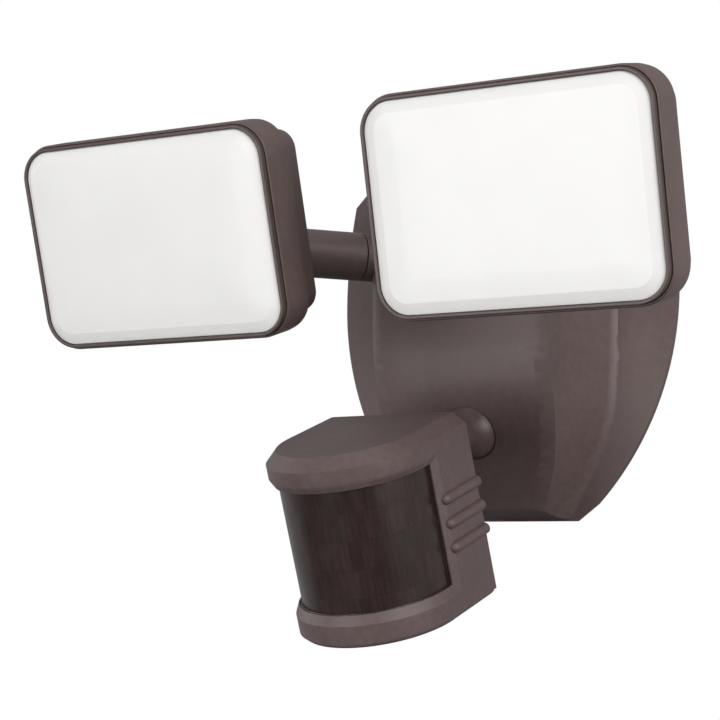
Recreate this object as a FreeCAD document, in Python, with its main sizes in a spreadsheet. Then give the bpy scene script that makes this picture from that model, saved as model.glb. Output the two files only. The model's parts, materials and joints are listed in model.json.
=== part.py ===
import FreeCAD, Part
import math
import os
import re
import Sketcher

V = FreeCAD.Vector

# Driving sizes in millimetres and degrees.  X runs to the right seen from the front, -Y points away from the
# wall and +Z is up.  The origin is the middle of the wall bracket's slots, on the wall.
SIZES = {
    # wall cover outline
    "plateHalfWidth": 75.8, "plateWidest": 20.0, "plateTop": 75.0, "plateBottom": -72.4,
    "upperSideRadius": 230.0, "lowerSideRadius": 124.0, "topChamfer": 12.0,
    "bottomChamferWide": 9.1, "bottomChamferTall": 6.9,
    "rimGap": 0.4, "rimDepth": 3.0, "domeRise": 3.5, "domeReach": 22.0, "coverWall": 2.5,
    # hump on the cover
    "humpDepth": 48.0, "creaseHeight": -5.0, "creaseDepth": 45.2, "creaseAngle": 8.5,
    "bendAngle": 28.0, "bendRadius": 100.0, "humpHalfWidth": 32.8, "narrowHeight": -22.0,
    "narrowRadius": 75.0, "bevelWide": 6.0, "bevelDeep": 2.2, "sideDraft": 18.0, "footRadius": 7.0,
    "humpTopEdge": 62.0, "humpTopFoot": 70.0, "humpBottomEdge": -68.2,
    # wall bracket and cover fixings
    "bracketWide": 22.0, "bracketThick": 2.0, "bracketTop": 60.0, "bracketFoot": -63.0, "footReach": 16.0,
    "slotSpacing": 88.9, "slotLength": 12.0, "slotRadius": 2.3,
    "gasketInset": 2.5, "gasketWide": 5.0, "gasketThick": 1.2,
    "topScrewHeight": 24.0, "topScrewRadius": 2.5, "topHeadRadius": 4.2, "topHeadDepth": 3.2,
    "pillarRadius": 7.2, "plugRadius": 5.4, "plugDepth": 4.0, "topHeadSink": 8.4,
    "footPegOut": 9.0, "footPegRadius": 2.0,
    "groundScrewHeight": -22.0, "groundScrewRadius": 2.0, "groundHeadRadius": 4.0,
    # driver
    "boardOut": 9.0, "boardThick": 1.6, "boardHalfWidth": 29.0, "boardTop": 58.0, "boardBottom": -9.0,
    "postRadius": 3.2, "postX": 25.0, "postTop": 53.0, "postBottom": -4.0, "boardScrewRadius": 1.4,
    # arms
    "armBaseX": 46.1, "armBaseSink": 4.0, "armHeight": 34.0, "armRadius": 9.8, "armBore": 4.6,
    "armBendRadius": 12.0, "armBendOut": 78.4, "armBossDepth": 17.5,
    "spigotRadius": 6.3, "spigotLength": 23.0, "sealThick": 0.5, "sealInset": 1.6,
    "nutFlats": 16.0, "nutThick": 5.0, "fitGap": 0.15,
    # arm ball joint at each lamp head
    "headPivotX": 74.3, "headPivotOut": 99.6,
    "ballRadius": 11.0, "neckRadius": 4.4, "neckStart": 17.0, "ballGap": 0.15,
    "cupThick": 1.5, "cupAngle": 45.0, "socketRimAngle": 68.0,
    "leftPitch": 17.25, "rightPitch": 13.7,
    # lamp head, measured from the pivot
    "lensOut": 46.7, "lensRise": 7.0, "lensWide": 105.8, "lensTall": 74.0, "lensCorner": 10.6,
    "bezelWide": 1.4, "bezelDepth": 2.9, "bezelProud": 0.6, "bezelSunk": 0.6,
    "headWall": 2.2, "headOverhang": 1.0, "headDepth": 16.4,
    "panInset": 4.9, "panDepth": 13.6, "lensDome": 1.6, "lensThick": 2.4, "lensGap": 0.15,
    "lensFlange": 1.5, "headGasketThick": 1.9, "ledgeWide": 4.0, "headEdgeRadius": 0.8,
    "ledSize": 5.0, "ledThick": 0.8, "ledPitchX": 15.0, "ledPitchZ": 14.0, "ledColumns": 6, "ledRows": 4,
    "ledBoardThick": 1.6, "heatPlateThick": 2.5, "headScrewRadius": 1.7, "headScrewHead": 3.2,
    "socketRadius": 15.6, "ringGrip": 1.6, "gripCount": 18, "gripRadius": 1.1, "cupGap": 0.12,
    "wireHole": 4.0,
    "headScrewX": 44.5, "headScrewZ": 28.0, "headScrewReach": 5.1, "headScrewSink": 2.6,
    "headPostRadius": 3.4, "panPostRadius": 4.0,
    # sensor ball joint on the cover
    "seatHeight": -38.7, "seatChamfer": 0.6,
    "sensorBall": 12.5, "seatSink": 5.9, "sensorNeck": 7.0, "sensorCup": 1.6, "sensorCupAngle": 74.0,
    "socketBoss": 18.5, "clampRadius": 16.2, "clampDepth": 9.0,
    "sensorPitch": 20.3, "sensorPan": -4.4,
    # sensor, measured from its pivot
    "sensorHalfWidth": 31.6, "sensorRear": 53.5, "sensorStraight": 30.2, "sensorTop": 21.1,
    "sensorBevel": 4.4, "sensorCorner": 0.9, "sensorBoardOut": 70.0, "visorDrop": 12.6,
    "windowBottom": -37.0, "frameDeep": 1.6, "frameWide": 3.0, "sillTall": 3.5,
    "baseTop": -43.0, "baseSeam": -47.4, "baseInset": 0.8, "baseThick": 2.4, "lipThick": 1.4,
    "sensorBottom": -49.0,
    "sensorWall": 2.2, "windowRadius": 28.6, "windowThick": 1.4, "windowGap": 0.2,
    "ribRadius": 2.1, "ribFirst": -5.7, "ribPitch": 9.1, "ribLength": 22.6, "ribCount": 3,
    "neckFlange": 11.5, "neckFlangeThick": 3.0, "neckSpigot": 5.5, "neckSpigotLength": 12.0,
    "neckBore": 3.2, "neckNutFlats": 15.0, "neckNutThick": 4.0,
    "dialRadius": 5.2, "dialX": 12.0, "dialOut": 84.0, "dialProud": 1.6,
    "switchX": -12.0, "switchOut": 84.0, "switchTravel": 6.0, "switchWide": 3.4, "switchLength": 5.0,
    "sensorScrewRadius": 1.5, "sensorScrewPost": 4.3,
    "sensorPostX": 18.5, "sensorPostLow": -30.0, "sensorPostHigh": 5.0, "sensorPostRadius": 2.6,
    "sensorPegRadius": 1.3, "controlPostX": 21.0, "controlPostBack": 8.0, "controlPostFront": 6.0,
    "controlPostRadius": 2.4,
}

doc = FreeCAD.newDocument("SecurityLight")
dims = doc.addObject("Spreadsheet::Sheet", "Dims")
for row, (name, size) in enumerate(SIZES.items(), start=1):
    dims.set("A%d" % row, name)
    dims.set("B%d" % row, str(size))
    dims.setAlias("B%d" % row, name)
doc.recompute()


def size(name):
    return float(getattr(dims, name))


def bind(text):
    # turns the plain size names in an expression into references to the sheet
    return re.sub(r"[A-Za-z_]\w*", lambda m: "Dims." + m.group() if m.group() in SIZES else m.group(), text)


def value(text):
    return float(dims.evalExpression(bind(text)))


# sketches and features
def newBody(name):
    body = doc.addObject("PartDesign::Body", name)
    body.Label = name
    return body


def newSketch(body, role="XZ_Plane", offset="0"):
    # on XZ_Plane the sketch looks out from the wall, so its offset and its pads grow towards -Y
    sketch = body.newObject("Sketcher::SketchObject", body.Name + "_sketch")
    plane = next(item for item in body.Origin.OriginFeatures if item.Role == role)
    sketch.AttachmentSupport = [(plane, "")]
    sketch.MapMode = "FlatFace"
    sketch.setExpression("AttachmentOffset.Base.z", bind(offset))
    return sketch


def constrain(sketch, constraint, text):
    index = sketch.addConstraint(constraint)
    sketch.setExpression("Constraints[%d]" % index, bind(text))


def fixPoint(sketch, shape, end, x, y):
    constrain(sketch, Sketcher.Constraint("DistanceX", -1, 1, shape, end, value(x)), x)
    constrain(sketch, Sketcher.Constraint("DistanceY", -1, 1, shape, end, value(y)), y)


def joinEnds(sketch, first, last):
    for shape in range(first, last + 1):
        after = shape + 1 if shape < last else first
        sketch.addConstraint(Sketcher.Constraint("Coincident", shape, 2, after, 1))


def drawPolygon(sketch, corners):
    spots = [V(value(x), value(y), 0) for x, y in corners]
    first = sketch.GeometryCount
    for spot, after in zip(spots, spots[1:] + spots[:1]):
        sketch.addGeometry(Part.LineSegment(spot, after))
    last = sketch.GeometryCount - 1
    joinEnds(sketch, first, last)
    for shape, (x, y) in zip(range(first, last + 1), corners):
        fixPoint(sketch, shape, 1, x, y)


def drawCircle(sketch, radius, x="0", y="0"):
    shape = sketch.addGeometry(Part.Circle(V(value(x), value(y), 0), V(0, 0, 1), value(radius)))
    constrain(sketch, Sketcher.Constraint("Radius", shape, value(radius)), radius)
    fixPoint(sketch, shape, 3, x, y)


def drawRoundedRectangle(sketch, halfWidth, halfHeight, radius, y="0"):
    wide, tall, bend, middle = value(halfWidth), value(halfHeight), value(radius), value(y)
    first = sketch.GeometryCount
    for turn, (signX, signY) in enumerate(((1, 1), (-1, 1), (-1, -1), (1, -1))):
        centre = V(signX * (wide - bend), middle + signY * (tall - bend), 0)
        start = math.radians(90 * turn)
        round_ = Part.ArcOfCircle(Part.Circle(centre, V(0, 0, 1), bend), start, start + math.pi / 2)
        sketch.addGeometry(round_)
        nextX, nextY = ((-1, 1), (-1, -1), (1, -1), (1, 1))[turn]
        flip = V(nextX * (wide - bend), middle + nextY * (tall - bend), 0)
        reach = V(math.cos(start + math.pi / 2), math.sin(start + math.pi / 2), 0) * bend
        sketch.addGeometry(Part.LineSegment(centre + reach, flip + reach))
    for shape in range(8):
        ends = (first + shape, 2, first + (shape + 1) % 8, 1)
        sketch.addConstraint(Sketcher.Constraint("Tangent", *ends))
    for turn, (signX, signY) in enumerate(((1, 1), (-1, 1), (-1, -1), (1, -1))):
        arc = first + 2 * turn
        constrain(sketch, Sketcher.Constraint("Radius", arc, bend), radius)
        fixPoint(sketch, arc, 3, "%d*(%s - (%s))" % (signX, halfWidth, radius),
                 "%s + %d*(%s - (%s))" % (y, signY, halfHeight, radius))


def pad(body, sketch, length):
    feature = body.newObject("PartDesign::Pad", body.Name + "_pad")
    feature.Profile = sketch
    feature.setExpression("Length", bind(length))
    sketch.Visibility = False
    return feature


def turnedBody(name, corners):
    # a body turned about its Y axis; each corner is (radius, distance out)
    body = newBody(name)
    sketch = newSketch(body, "XY_Plane")
    drawPolygon(sketch, [(radius, "-(%s)" % out) for radius, out in corners])
    feature = body.newObject("PartDesign::Revolution", name + "_turn")
    feature.Profile = sketch
    feature.ReferenceAxis = (sketch, ["V_Axis"])
    feature.Angle = 360
    return body


def shapedPart(name, shape, placement=None):
    # a piece whose faces follow formulas or lofts
    part = doc.addObject("Part::Feature", name)
    part.Label = name
    part.Shape = shape
    if placement:
        part.Placement = placement
    return part


def hexPrism(flats, start, end):
    # a hexagon across the X-Z plane, from one distance out to another
    corner = flats / math.sqrt(3)
    spots = [V(corner * math.cos(math.radians(60 * k)), -start, corner * math.sin(math.radians(60 * k)))
             for k in range(7)]
    return Part.Face(Part.makePolygon(spots)).extrude(V(0, start - end, 0))


def outRod(radius, start, end, x=0.0, z=0.0):
    # a round rod along -Y between two distances out from the plane Y = 0
    return Part.makeCylinder(radius, end - start, V(x, -start, z), V(0, -1, 0))


def upRod(radius, bottom, top, x=0.0, out=0.0):
    return Part.makeCylinder(radius, top - bottom, V(x, -out, bottom), V(0, 0, 1))


def outBox(x, z, start, end):
    # a box between two X values, two Z values and two distances out
    return Part.makeBox(x[1] - x[0], end - start, z[1] - z[0], V(x[0], -end, z[0]))


def ballAt(radius, centre=V(0, 0, 0)):
    return Part.makeSphere(radius, centre)


def panScrew(headRadius, headDepth, shankRadius, shankLength, x=0.0, z=0.0, headOut=0.0):
    # a pan-head screw driven from the front, with a cross recess; headOut is the underside of its head
    head = outRod(headRadius, headOut, headOut + headDepth, x, z)
    rim = [edge for edge in head.Edges if abs(edge.CenterOfMass.y + headOut + headDepth) < 0.01]
    head = head.makeFillet(0.45 * headDepth, rim)
    shank = outRod(shankRadius, headOut - shankLength, headOut, x, z)
    recess = []
    for wide, tall in ((0.55, 0.12), (0.12, 0.55)):
        wide, tall = wide * headRadius, tall * headRadius
        recess.append(outBox((x - wide, x + wide), (z - tall, z + tall), headOut + 0.45 * headDepth,
                             headOut + 2 * headDepth))
    return head.fuse(shank).removeSplitter().cut(recess)


# wall cover
humpArcCentre = size("creaseHeight") + size("bendRadius") * math.sin(math.radians(size("creaseAngle")))
humpArcDepth = size("creaseDepth") - size("bendRadius") * math.cos(math.radians(size("creaseAngle")))
humpArcEnd = humpArcCentre - size("bendRadius") * math.sin(math.radians(size("bendAngle")))
humpDraft = math.radians(size("sideDraft"))


def sideX(z, inset=0.0):
    # half the cover's width at a height: two arcs that meet at the widest place
    radius = size("upperSideRadius") if z >= size("plateWidest") else size("lowerSideRadius")
    rise = z - size("plateWidest")
    return size("plateHalfWidth") - radius + math.sqrt((radius - inset) ** 2 - rise ** 2)


def cornerOnSide(normalX, normalZ, level, inset, low, high):
    # the height where a chamfer's line meets the side
    for _ in range(60):
        middle = (low + high) / 2
        if (normalX * sideX(middle, inset) + normalZ * middle - level) * normalZ > 0:
            high = middle
        else:
            low = middle
    return (low + high) / 2


def coverOutline(inset, out):
    # the cover's outline, drawn in by an inset, at a distance out from the wall
    top, bottom, widest = size("plateTop") - inset, size("plateBottom") + inset, size("plateWidest")
    topStart = size("plateTop") - size("topChamfer")
    bottomStart = size("plateBottom") + size("bottomChamferTall")
    slant = math.hypot(size("bottomChamferWide"), size("bottomChamferTall"))
    chamfers = []
    for normalX, normalZ, start, edge, span in (
            (math.sqrt(0.5), math.sqrt(0.5), topStart, top, (widest, top)),
            (size("bottomChamferTall") / slant, -size("bottomChamferWide") / slant, bottomStart, bottom,
             (bottom - 5, widest))):
        level = normalX * sideX(start) + normalZ * start - inset
        height = cornerOnSide(normalX, normalZ, level, inset, *span)
        chamfers.append((height, (level - normalZ * edge) / normalX))
    (topHeight, topX), (bottomHeight, bottomX) = chamfers

    def spot(x, z):
        return V(x, -out, z)

    def sideArc(z1, z2, sign):
        ends = [spot(sign * sideX(z, inset), z) for z in (z1, (z1 + z2) / 2, z2)]
        return Part.Arc(*ends).toShape()

    def line(x1, z1, x2, z2):
        return Part.LineSegment(spot(x1, z1), spot(x2, z2)).toShape()

    sideTop, sideBottom = sideX(topHeight, inset), sideX(bottomHeight, inset)
    return Part.Wire([
        line(topX, top, sideTop, topHeight),
        sideArc(topHeight, widest, 1),
        sideArc(widest - 1e-9, bottomHeight, 1),
        line(sideBottom, bottomHeight, bottomX, bottom),
        line(bottomX, bottom, -bottomX, bottom),
        line(-bottomX, bottom, -sideBottom, bottomHeight),
        sideArc(bottomHeight, widest - 1e-9, -1),
        sideArc(widest, topHeight, -1),
        line(-sideTop, topHeight, -topX, top),
        line(-topX, top, topX, top)])


def outlineSlab(inset, start, end):
    return Part.Face(coverOutline(inset, start)).extrude(V(0, start - end, 0))


def outlineTaper(inset1, out1, inset2, out2):
    return Part.makeLoft([coverOutline(inset1, out1), coverOutline(inset2, out2)], True, True)


def humpFront(z):
    # how far the hump's front face stands out from the wall at a height
    if z >= size("creaseHeight"):
        rise = (z - size("creaseHeight")) / (size("humpTopEdge") - size("creaseHeight"))
        return size("creaseDepth") + rise * (size("humpDepth") - size("creaseDepth"))
    radius = size("bendRadius")
    if z >= humpArcEnd:
        return humpArcDepth + math.sqrt(radius ** 2 - (z - humpArcCentre) ** 2)
    return humpFront(humpArcEnd) - (humpArcEnd - z) * math.tan(math.radians(size("bendAngle")))


def humpHalf(z):
    return size("humpHalfWidth") - max(0.0, size("narrowHeight") - z) ** 2 / (2 * size("narrowRadius"))


def domeHeight(x, z):
    inset = min(sideX(z) - x, z - size("plateBottom"), size("plateTop") - z)
    return size("rimDepth") + size("domeRise") * min(1.0, max(0.0, inset) / size("domeReach"))


def humpCorners(z, wall=0.0):
    # front and bevel corners of the hump's section, moved in by a wall thickness
    front, half = humpFront(z), humpHalf(z)
    bevelX, bevelOut = half + size("bevelWide"), front - size("bevelDeep")
    tilt = math.atan2(size("bevelDeep"), size("bevelWide"))
    frontNormal, bevelNormal, sideNormal = (
        (0.0, 1.0), (math.sin(tilt), math.cos(tilt)), (math.cos(humpDraft), math.sin(humpDraft)))
    corners = []
    for (x, out), a, b in (((half, front), frontNormal, bevelNormal),
                           ((bevelX, bevelOut), bevelNormal, sideNormal)):
        share = wall / (1 + a[0] * b[0] + a[1] * b[1])
        corners.append((x - share * (a[0] + b[0]), out - share * (a[1] + b[1])))
    return corners


def closedWire(points, z, arcs=()):
    # a section across the hump; points are (x, out), and an arc replaces the line after each index in arcs
    spots = [V(x, -out, z) for x, out in points]
    edges = []
    for index, (spot, after) in enumerate(zip(spots, spots[1:] + spots[:1])):
        middle = dict(arcs).get(index)
        if middle:
            edges.append(Part.Arc(spot, V(middle[0], -middle[1], z), after).toShape())
        else:
            edges.append(Part.LineSegment(spot, after).toShape())
    return Part.Wire(edges)


def humpSection(z):
    corner, bevel = humpCorners(z)
    reach = bevel[0] + (bevel[1] - size("rimDepth")) * math.tan(humpDraft) + size("footRadius")
    foot = domeHeight(reach, z)
    radius = min(size("footRadius"), 0.7 * (bevel[1] - foot))
    middleX = bevel[0] + ((bevel[1] - foot - radius) * math.sin(humpDraft) + radius) / math.cos(humpDraft)
    middleOut = foot + radius
    halfTurn = math.radians(225) + humpDraft / 2
    start = (middleX - radius * math.cos(humpDraft), middleOut - radius * math.sin(humpDraft))
    bend = (middleX + radius * math.cos(halfTurn), middleOut + radius * math.sin(halfTurn))
    base = size("rimDepth") - 1.0
    right = [corner, bevel, start, (middleX, foot), (middleX, base)]
    left = [(-x, out) for x, out in reversed(right)]
    return closedWire(right + left, z, ((2, bend), (6, (-bend[0], bend[1]))))


def humpHollowSection(z):
    corner, bevel = humpCorners(z, size("coverWall"))
    behind = -1.0
    foot = (bevel[0] + (bevel[1] - behind) * math.tan(humpDraft), behind)
    right = [corner, bevel, foot]
    return closedWire(right + [(-x, out) for x, out in reversed(right)], z)


def endSlice(inset):
    # everything between the hump's top and bottom walls, drawn in by an inset
    far = 60.0
    topSlope = (size("humpTopFoot") - size("humpTopEdge")) / size("humpDepth")
    edgeOut = humpFront(size("humpBottomEdge"))
    bottomSlope = (size("humpBottomEdge") - size("plateBottom")) / edgeOut
    bottom = size("plateBottom") + inset * math.hypot(1, bottomSlope)
    top = size("humpTopFoot") - inset * math.hypot(1, topSlope)
    spots = [V(-100, 2, bottom - 2 * bottomSlope), V(-100, -far, bottom + far * bottomSlope),
             V(-100, -far, top - far * topSlope), V(-100, 2, top + 2 * topSlope)]
    return Part.Face(Part.makePolygon(spots + spots[:1])).extrude(V(200, 0, 0))


def humpLoft(section):
    crease, end = size("creaseHeight"), size("plateBottom") - 2
    steps = 9
    lower = [section(crease + (end - crease) * k / steps) for k in range(steps + 1)]
    upper = [section(size("humpTopFoot") + 2), section(crease)]
    solid = Part.makeLoft(upper, True, True).fuse(Part.makeLoft(lower, True, False))
    return solid.removeSplitter()


def armLine(sign):
    # where an arm meets the cover, the corner of its bend, and the direction out along its straight part
    out = humpFront(size("armHeight")) - size("armBaseSink")
    base = V(sign * size("armBaseX"), -out, size("armHeight"))
    corner = V(sign * size("headPivotX"), -size("armBendOut"), size("armHeight"))
    return base, corner, (corner - base).normalize()


def seatFrame():
    # the sensor ball's middle, and the direction out of its seat
    tilt = math.radians(size("bendAngle"))
    outward = V(0, -math.cos(tilt), -math.sin(tilt))
    mouth = V(0, -humpFront(size("seatHeight")), size("seatHeight"))
    return mouth - outward * size("seatSink"), outward


def alongSeat(shape):
    # moves a shape drawn along +Z from the origin to the seat's axis
    middle, outward = seatFrame()
    turn = FreeCAD.Rotation(V(0, 0, 1), outward)
    moved = shape.copy()
    moved.Placement = FreeCAD.Placement(middle, turn)
    return moved


def turnedRing(points):
    # a solid turned about Z from (radius, height) points
    spots = [V(radius, 0, height) for radius, height in points]
    return Part.Face(Part.makePolygon(spots + spots[:1])).revolve(V(0, 0, 0), V(0, 0, 1), 360)


def boardPosts():
    heights = (size("postTop"), size("postBottom"))
    return [(sign * size("postX"), height) for sign in (-1, 1) for height in heights]


def topScrewSeat():
    # how far out the cover screw's head sits, below the hump's front
    return humpFront(size("topScrewHeight")) - size("topHeadSink")


def housingCover():
    rim = outlineSlab(0, size("rimGap"), size("rimDepth"))
    dome = outlineTaper(0, size("rimDepth"), size("domeReach"), size("rimDepth") + size("domeRise"))
    hump = humpLoft(humpSection).common(endSlice(0))
    outer = rim.fuse([dome, hump]).removeSplitter()

    behind = outlineSlab(size("gasketInset"), 0, size("gasketThick"))
    ceiling = size("rimDepth") + size("domeRise") - size("coverWall") - 0.3
    hollowDome = outlineTaper(size("gasketInset") + size("gasketWide") + 0.5, size("gasketThick"),
                              size("domeReach") - 1, ceiling)
    hollowHump = humpLoft(humpHollowSection).common(endSlice(size("coverWall")))
    shell = outer.cut(behind.fuse([hollowDome, hollowHump]))

    # what stands inside: the screw pillar, the board's posts and the ball seat's boss, cut to the outside
    boardFront = size("boardOut") + size("boardThick")
    inside = [outRod(size("pillarRadius"), size("bracketThick") + 1.5, 60, 0, size("topScrewHeight"))]
    inside += [outRod(size("postRadius"), boardFront, 60, x, z) for x, z in boardPosts()]
    inside.append(alongSeat(Part.makeCylinder(size("socketBoss"), 40, V(0, 0, -size("clampDepth") - 7))))
    # a peg on the bottom wall enters the hole in the bracket's foot
    pegTop = size("bracketFoot") + size("bracketThick") + 0.8
    inside.append(upRod(size("footPegRadius"), size("plateBottom"), pegTop, 0, size("footPegOut")))
    trim = outer.copy()
    shell = shell.fuse([piece.common(trim) for piece in inside])

    bosses, bores = [], []
    for sign in (-1, 1):
        base, _, outward = armLine(sign)
        foot = base - outward * size("armBossDepth")
        length = size("armBossDepth") - size("sealThick")
        bosses.append(Part.makeCylinder(size("armRadius"), length, foot, outward))
        spigotHole = size("spigotRadius") + size("fitGap")
        bores.append(Part.makeCylinder(spigotHole, 40, base - outward * 30, outward))
    shell = shell.fuse(bosses)

    # screw pillar: clearance hole, and the head's seat from the front
    height = size("topScrewHeight")
    bores.append(outRod(size("topScrewRadius") + 0.4, -1, 60, 0, height))
    bores.append(outRod(size("plugRadius") + size("fitGap"), topScrewSeat(), 60, 0, height))
    bores += [outRod(size("boardScrewRadius"), boardFront - 1, boardFront + 8, x, z)
              for x, z in boardPosts()]

    # the ball's seat: a spherical front zone, room for the cup, and the clamp's bore
    ball = size("sensorBall") + size("ballGap")
    room = size("sensorBall") + size("ballGap") + size("sensorCup") + 0.35
    bores.append(alongSeat(Part.makeSphere(ball)))
    bores.append(alongSeat(Part.makeCylinder(room, 30, V(0, 0, 1.4 - 30))))
    bores.append(alongSeat(Part.makeCylinder(size("clampRadius") + size("fitGap"), 30, V(0, 0, -34))))
    mouth = math.sqrt(ball ** 2 - size("seatSink") ** 2)
    lip = size("seatChamfer")
    bores.append(alongSeat(turnedRing([(0, size("seatSink") - lip), (mouth, size("seatSink") - lip),
                                       (mouth + 3 * lip, size("seatSink") + 2 * lip),
                                       (mouth + 3 * lip, 30), (0, 30)])))
    return shapedPart("housing_cover", shell.cut(bores).removeSplitter())


def wallGasket():
    # a flat ring in the recess at the cover's back, against the wall
    ring = outlineSlab(size("gasketInset") + size("fitGap"), 0, size("gasketThick"))
    hole = outlineSlab(size("gasketInset") + size("gasketWide"), -1, size("gasketThick") + 1)
    return shapedPart("wall_gasket", ring.cut(hole))


def wallBracket():
    # a flat strip against the wall, with a foot bent out at its lower end
    body = newBody("wall_bracket")
    sketch = newSketch(body)
    drawPolygon(sketch, [("-bracketWide/2", "bracketFoot"), ("bracketWide/2", "bracketFoot"),
                         ("bracketWide/2", "bracketTop"), ("-bracketWide/2", "bracketTop")])
    drawCircle(sketch, "topScrewRadius + fitGap/3", "0", "topScrewHeight")
    drawCircle(sketch, "groundScrewRadius + fitGap/3", "0", "groundScrewHeight")
    for sign in ("", "-"):
        drawSlot(sketch, sign + "slotSpacing/2")
    pad(body, sketch, "bracketThick")
    foot = newSketch(body, "XY_Plane", "bracketFoot")
    drawPolygon(foot, [("-bracketWide/2", "-footReach"), ("bracketWide/2", "-footReach"),
                       ("bracketWide/2", "0"), ("-bracketWide/2", "0")])
    drawCircle(foot, "footPegRadius + fitGap/3", "0", "-footPegOut")
    pad(body, foot, "bracketThick")
    return body


def drawSlot(sketch, middle):
    # an upright slot with round ends
    reach = "(slotLength/2 - slotRadius)"
    high, low = value("%s + %s" % (middle, reach)), value("%s - %s" % (middle, reach))
    radius = size("slotRadius")
    upper, lower = (Part.Circle(V(0, height, 0), V(0, 0, 1), radius) for height in (high, low))
    first = sketch.GeometryCount
    sketch.addGeometry(Part.ArcOfCircle(upper, 0, math.pi))
    sketch.addGeometry(Part.LineSegment(V(-radius, high, 0), V(-radius, low, 0)))
    sketch.addGeometry(Part.ArcOfCircle(lower, math.pi, 2 * math.pi))
    sketch.addGeometry(Part.LineSegment(V(radius, low, 0), V(radius, high, 0)))
    for shape in range(4):
        ends = (first + shape, 2, first + (shape + 1) % 4, 1)
        sketch.addConstraint(Sketcher.Constraint("Tangent", *ends))
    fixPoint(sketch, first, 3, "0", "%s + %s" % (middle, reach))
    fixPoint(sketch, first + 2, 3, "0", "%s - %s" % (middle, reach))
    constrain(sketch, Sketcher.Constraint("Radius", first, radius), "slotRadius")


def coverFixings():
    seat = topScrewSeat()
    top = panScrew(size("topHeadRadius"), size("topHeadDepth"), size("topScrewRadius"), seat - 0.4,
                   0, size("topScrewHeight"), seat)
    shapedPart("cover_screw", top)
    # the plug fills the recess over the screw and ends level with the hump's front
    start = humpFront(size("topScrewHeight")) - size("plugDepth") - 0.3
    plug = outRod(size("plugRadius"), start, start + size("plugDepth"), 0, size("topScrewHeight"))
    rim = [edge for edge in plug.Edges if abs(edge.CenterOfMass.y + start + size("plugDepth")) < 0.01]
    shapedPart("screw_plug", plug.makeFillet(0.8, rim))
    ground = panScrew(size("groundHeadRadius"), 2.6, size("groundScrewRadius"), size("bracketThick") - 0.2,
                      0, size("groundScrewHeight"), size("bracketThick"))
    shapedPart("ground_screw", ground)


def driver():
    # the board stands on the cover's four posts and carries the parts that feed the lamps
    back, front = size("boardOut"), size("boardOut") + size("boardThick")
    body = newBody("driver_board")
    sketch = newSketch(body, offset="boardOut")
    drawPolygon(sketch, [("-boardHalfWidth", "boardBottom"), ("boardHalfWidth", "boardBottom"),
                         ("boardHalfWidth", "boardTop"), ("-boardHalfWidth", "boardTop")])
    drawCircle(sketch, "pillarRadius + 0.8", "0", "topScrewHeight")
    for sign in ("", "-"):
        for height in ("postTop", "postBottom"):
            drawCircle(sketch, "boardScrewRadius + 0.1", sign + "postX", height)
    pad(body, sketch, "boardThick")
    screws = [panScrew(2.6, 1.8, size("boardScrewRadius"), 6.5).mirror(V(0, 0, 0), V(0, 1, 0))
              for _ in boardPosts()]
    for screw, (x, z) in zip(screws, boardPosts()):
        screw.translate(V(x, -back, z))
    shapedPart("board_screws", Part.makeCompound(screws))

    # a transformer whose legs stand on the board and close over its winding
    half, leg, middle, tall = 11.0, 6.0, 46.0, 15.0
    legs = (middle - 7, middle + 7)
    core = outBox((-half, half), (middle - 9, middle + 9), front + 3, front + 9).fuse(
        [outBox((-half, leg - half), legs, front, front + tall),
         outBox((half - leg, half), legs, front, front + tall),
         outBox((-half, half), legs, front + tall - 3, front + tall)]).removeSplitter()
    winding = outRod(7.5, front + 3, front + tall - 3, 0, middle).cut(core)
    shapedPart("transformer", core.fuse(winding).removeSplitter())
    cans = []
    canPlaces = ((-20, 12, 5, 16), (-16, -1, 4, 12), (20, 40, 3.2, 9))  # x, z, radius, height
    for x, z, radius, tall in canPlaces:
        can = outRod(radius, front, front + tall, x, z)
        ends = [edge for edge in can.Edges if edge.Curve.TypeId == "Part::GeomCircle"]
        cans.append(can.makeFillet(0.5, ends))
    shapedPart("capacitors", Part.makeCompound(cans))
    relay = outBox((11, 26), (2, 21), front, front + 15)
    shapedPart("lamp_relay", relay.makeFillet(0.8, [edge for edge in relay.Edges]))
    block = outBox((-9, 9), (-7.5, 2.5), front, front + 10)
    for x in (-5.5, 0, 5.5):
        block = block.cut(outBox((x - 1.8, x + 1.8), (-9, -1.5), front + 3, front + 7))
        block = block.cut(outRod(1.7, front + 7, front + 12, x, 0))
    shapedPart("terminal_block", block)


# arms
def armPlacement(sign):
    # a frame at the arm's base, with -Y along the arm
    base, _, outward = armLine(sign)
    return FreeCAD.Placement(base, FreeCAD.Rotation(V(0, -1, 0), outward))


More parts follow.
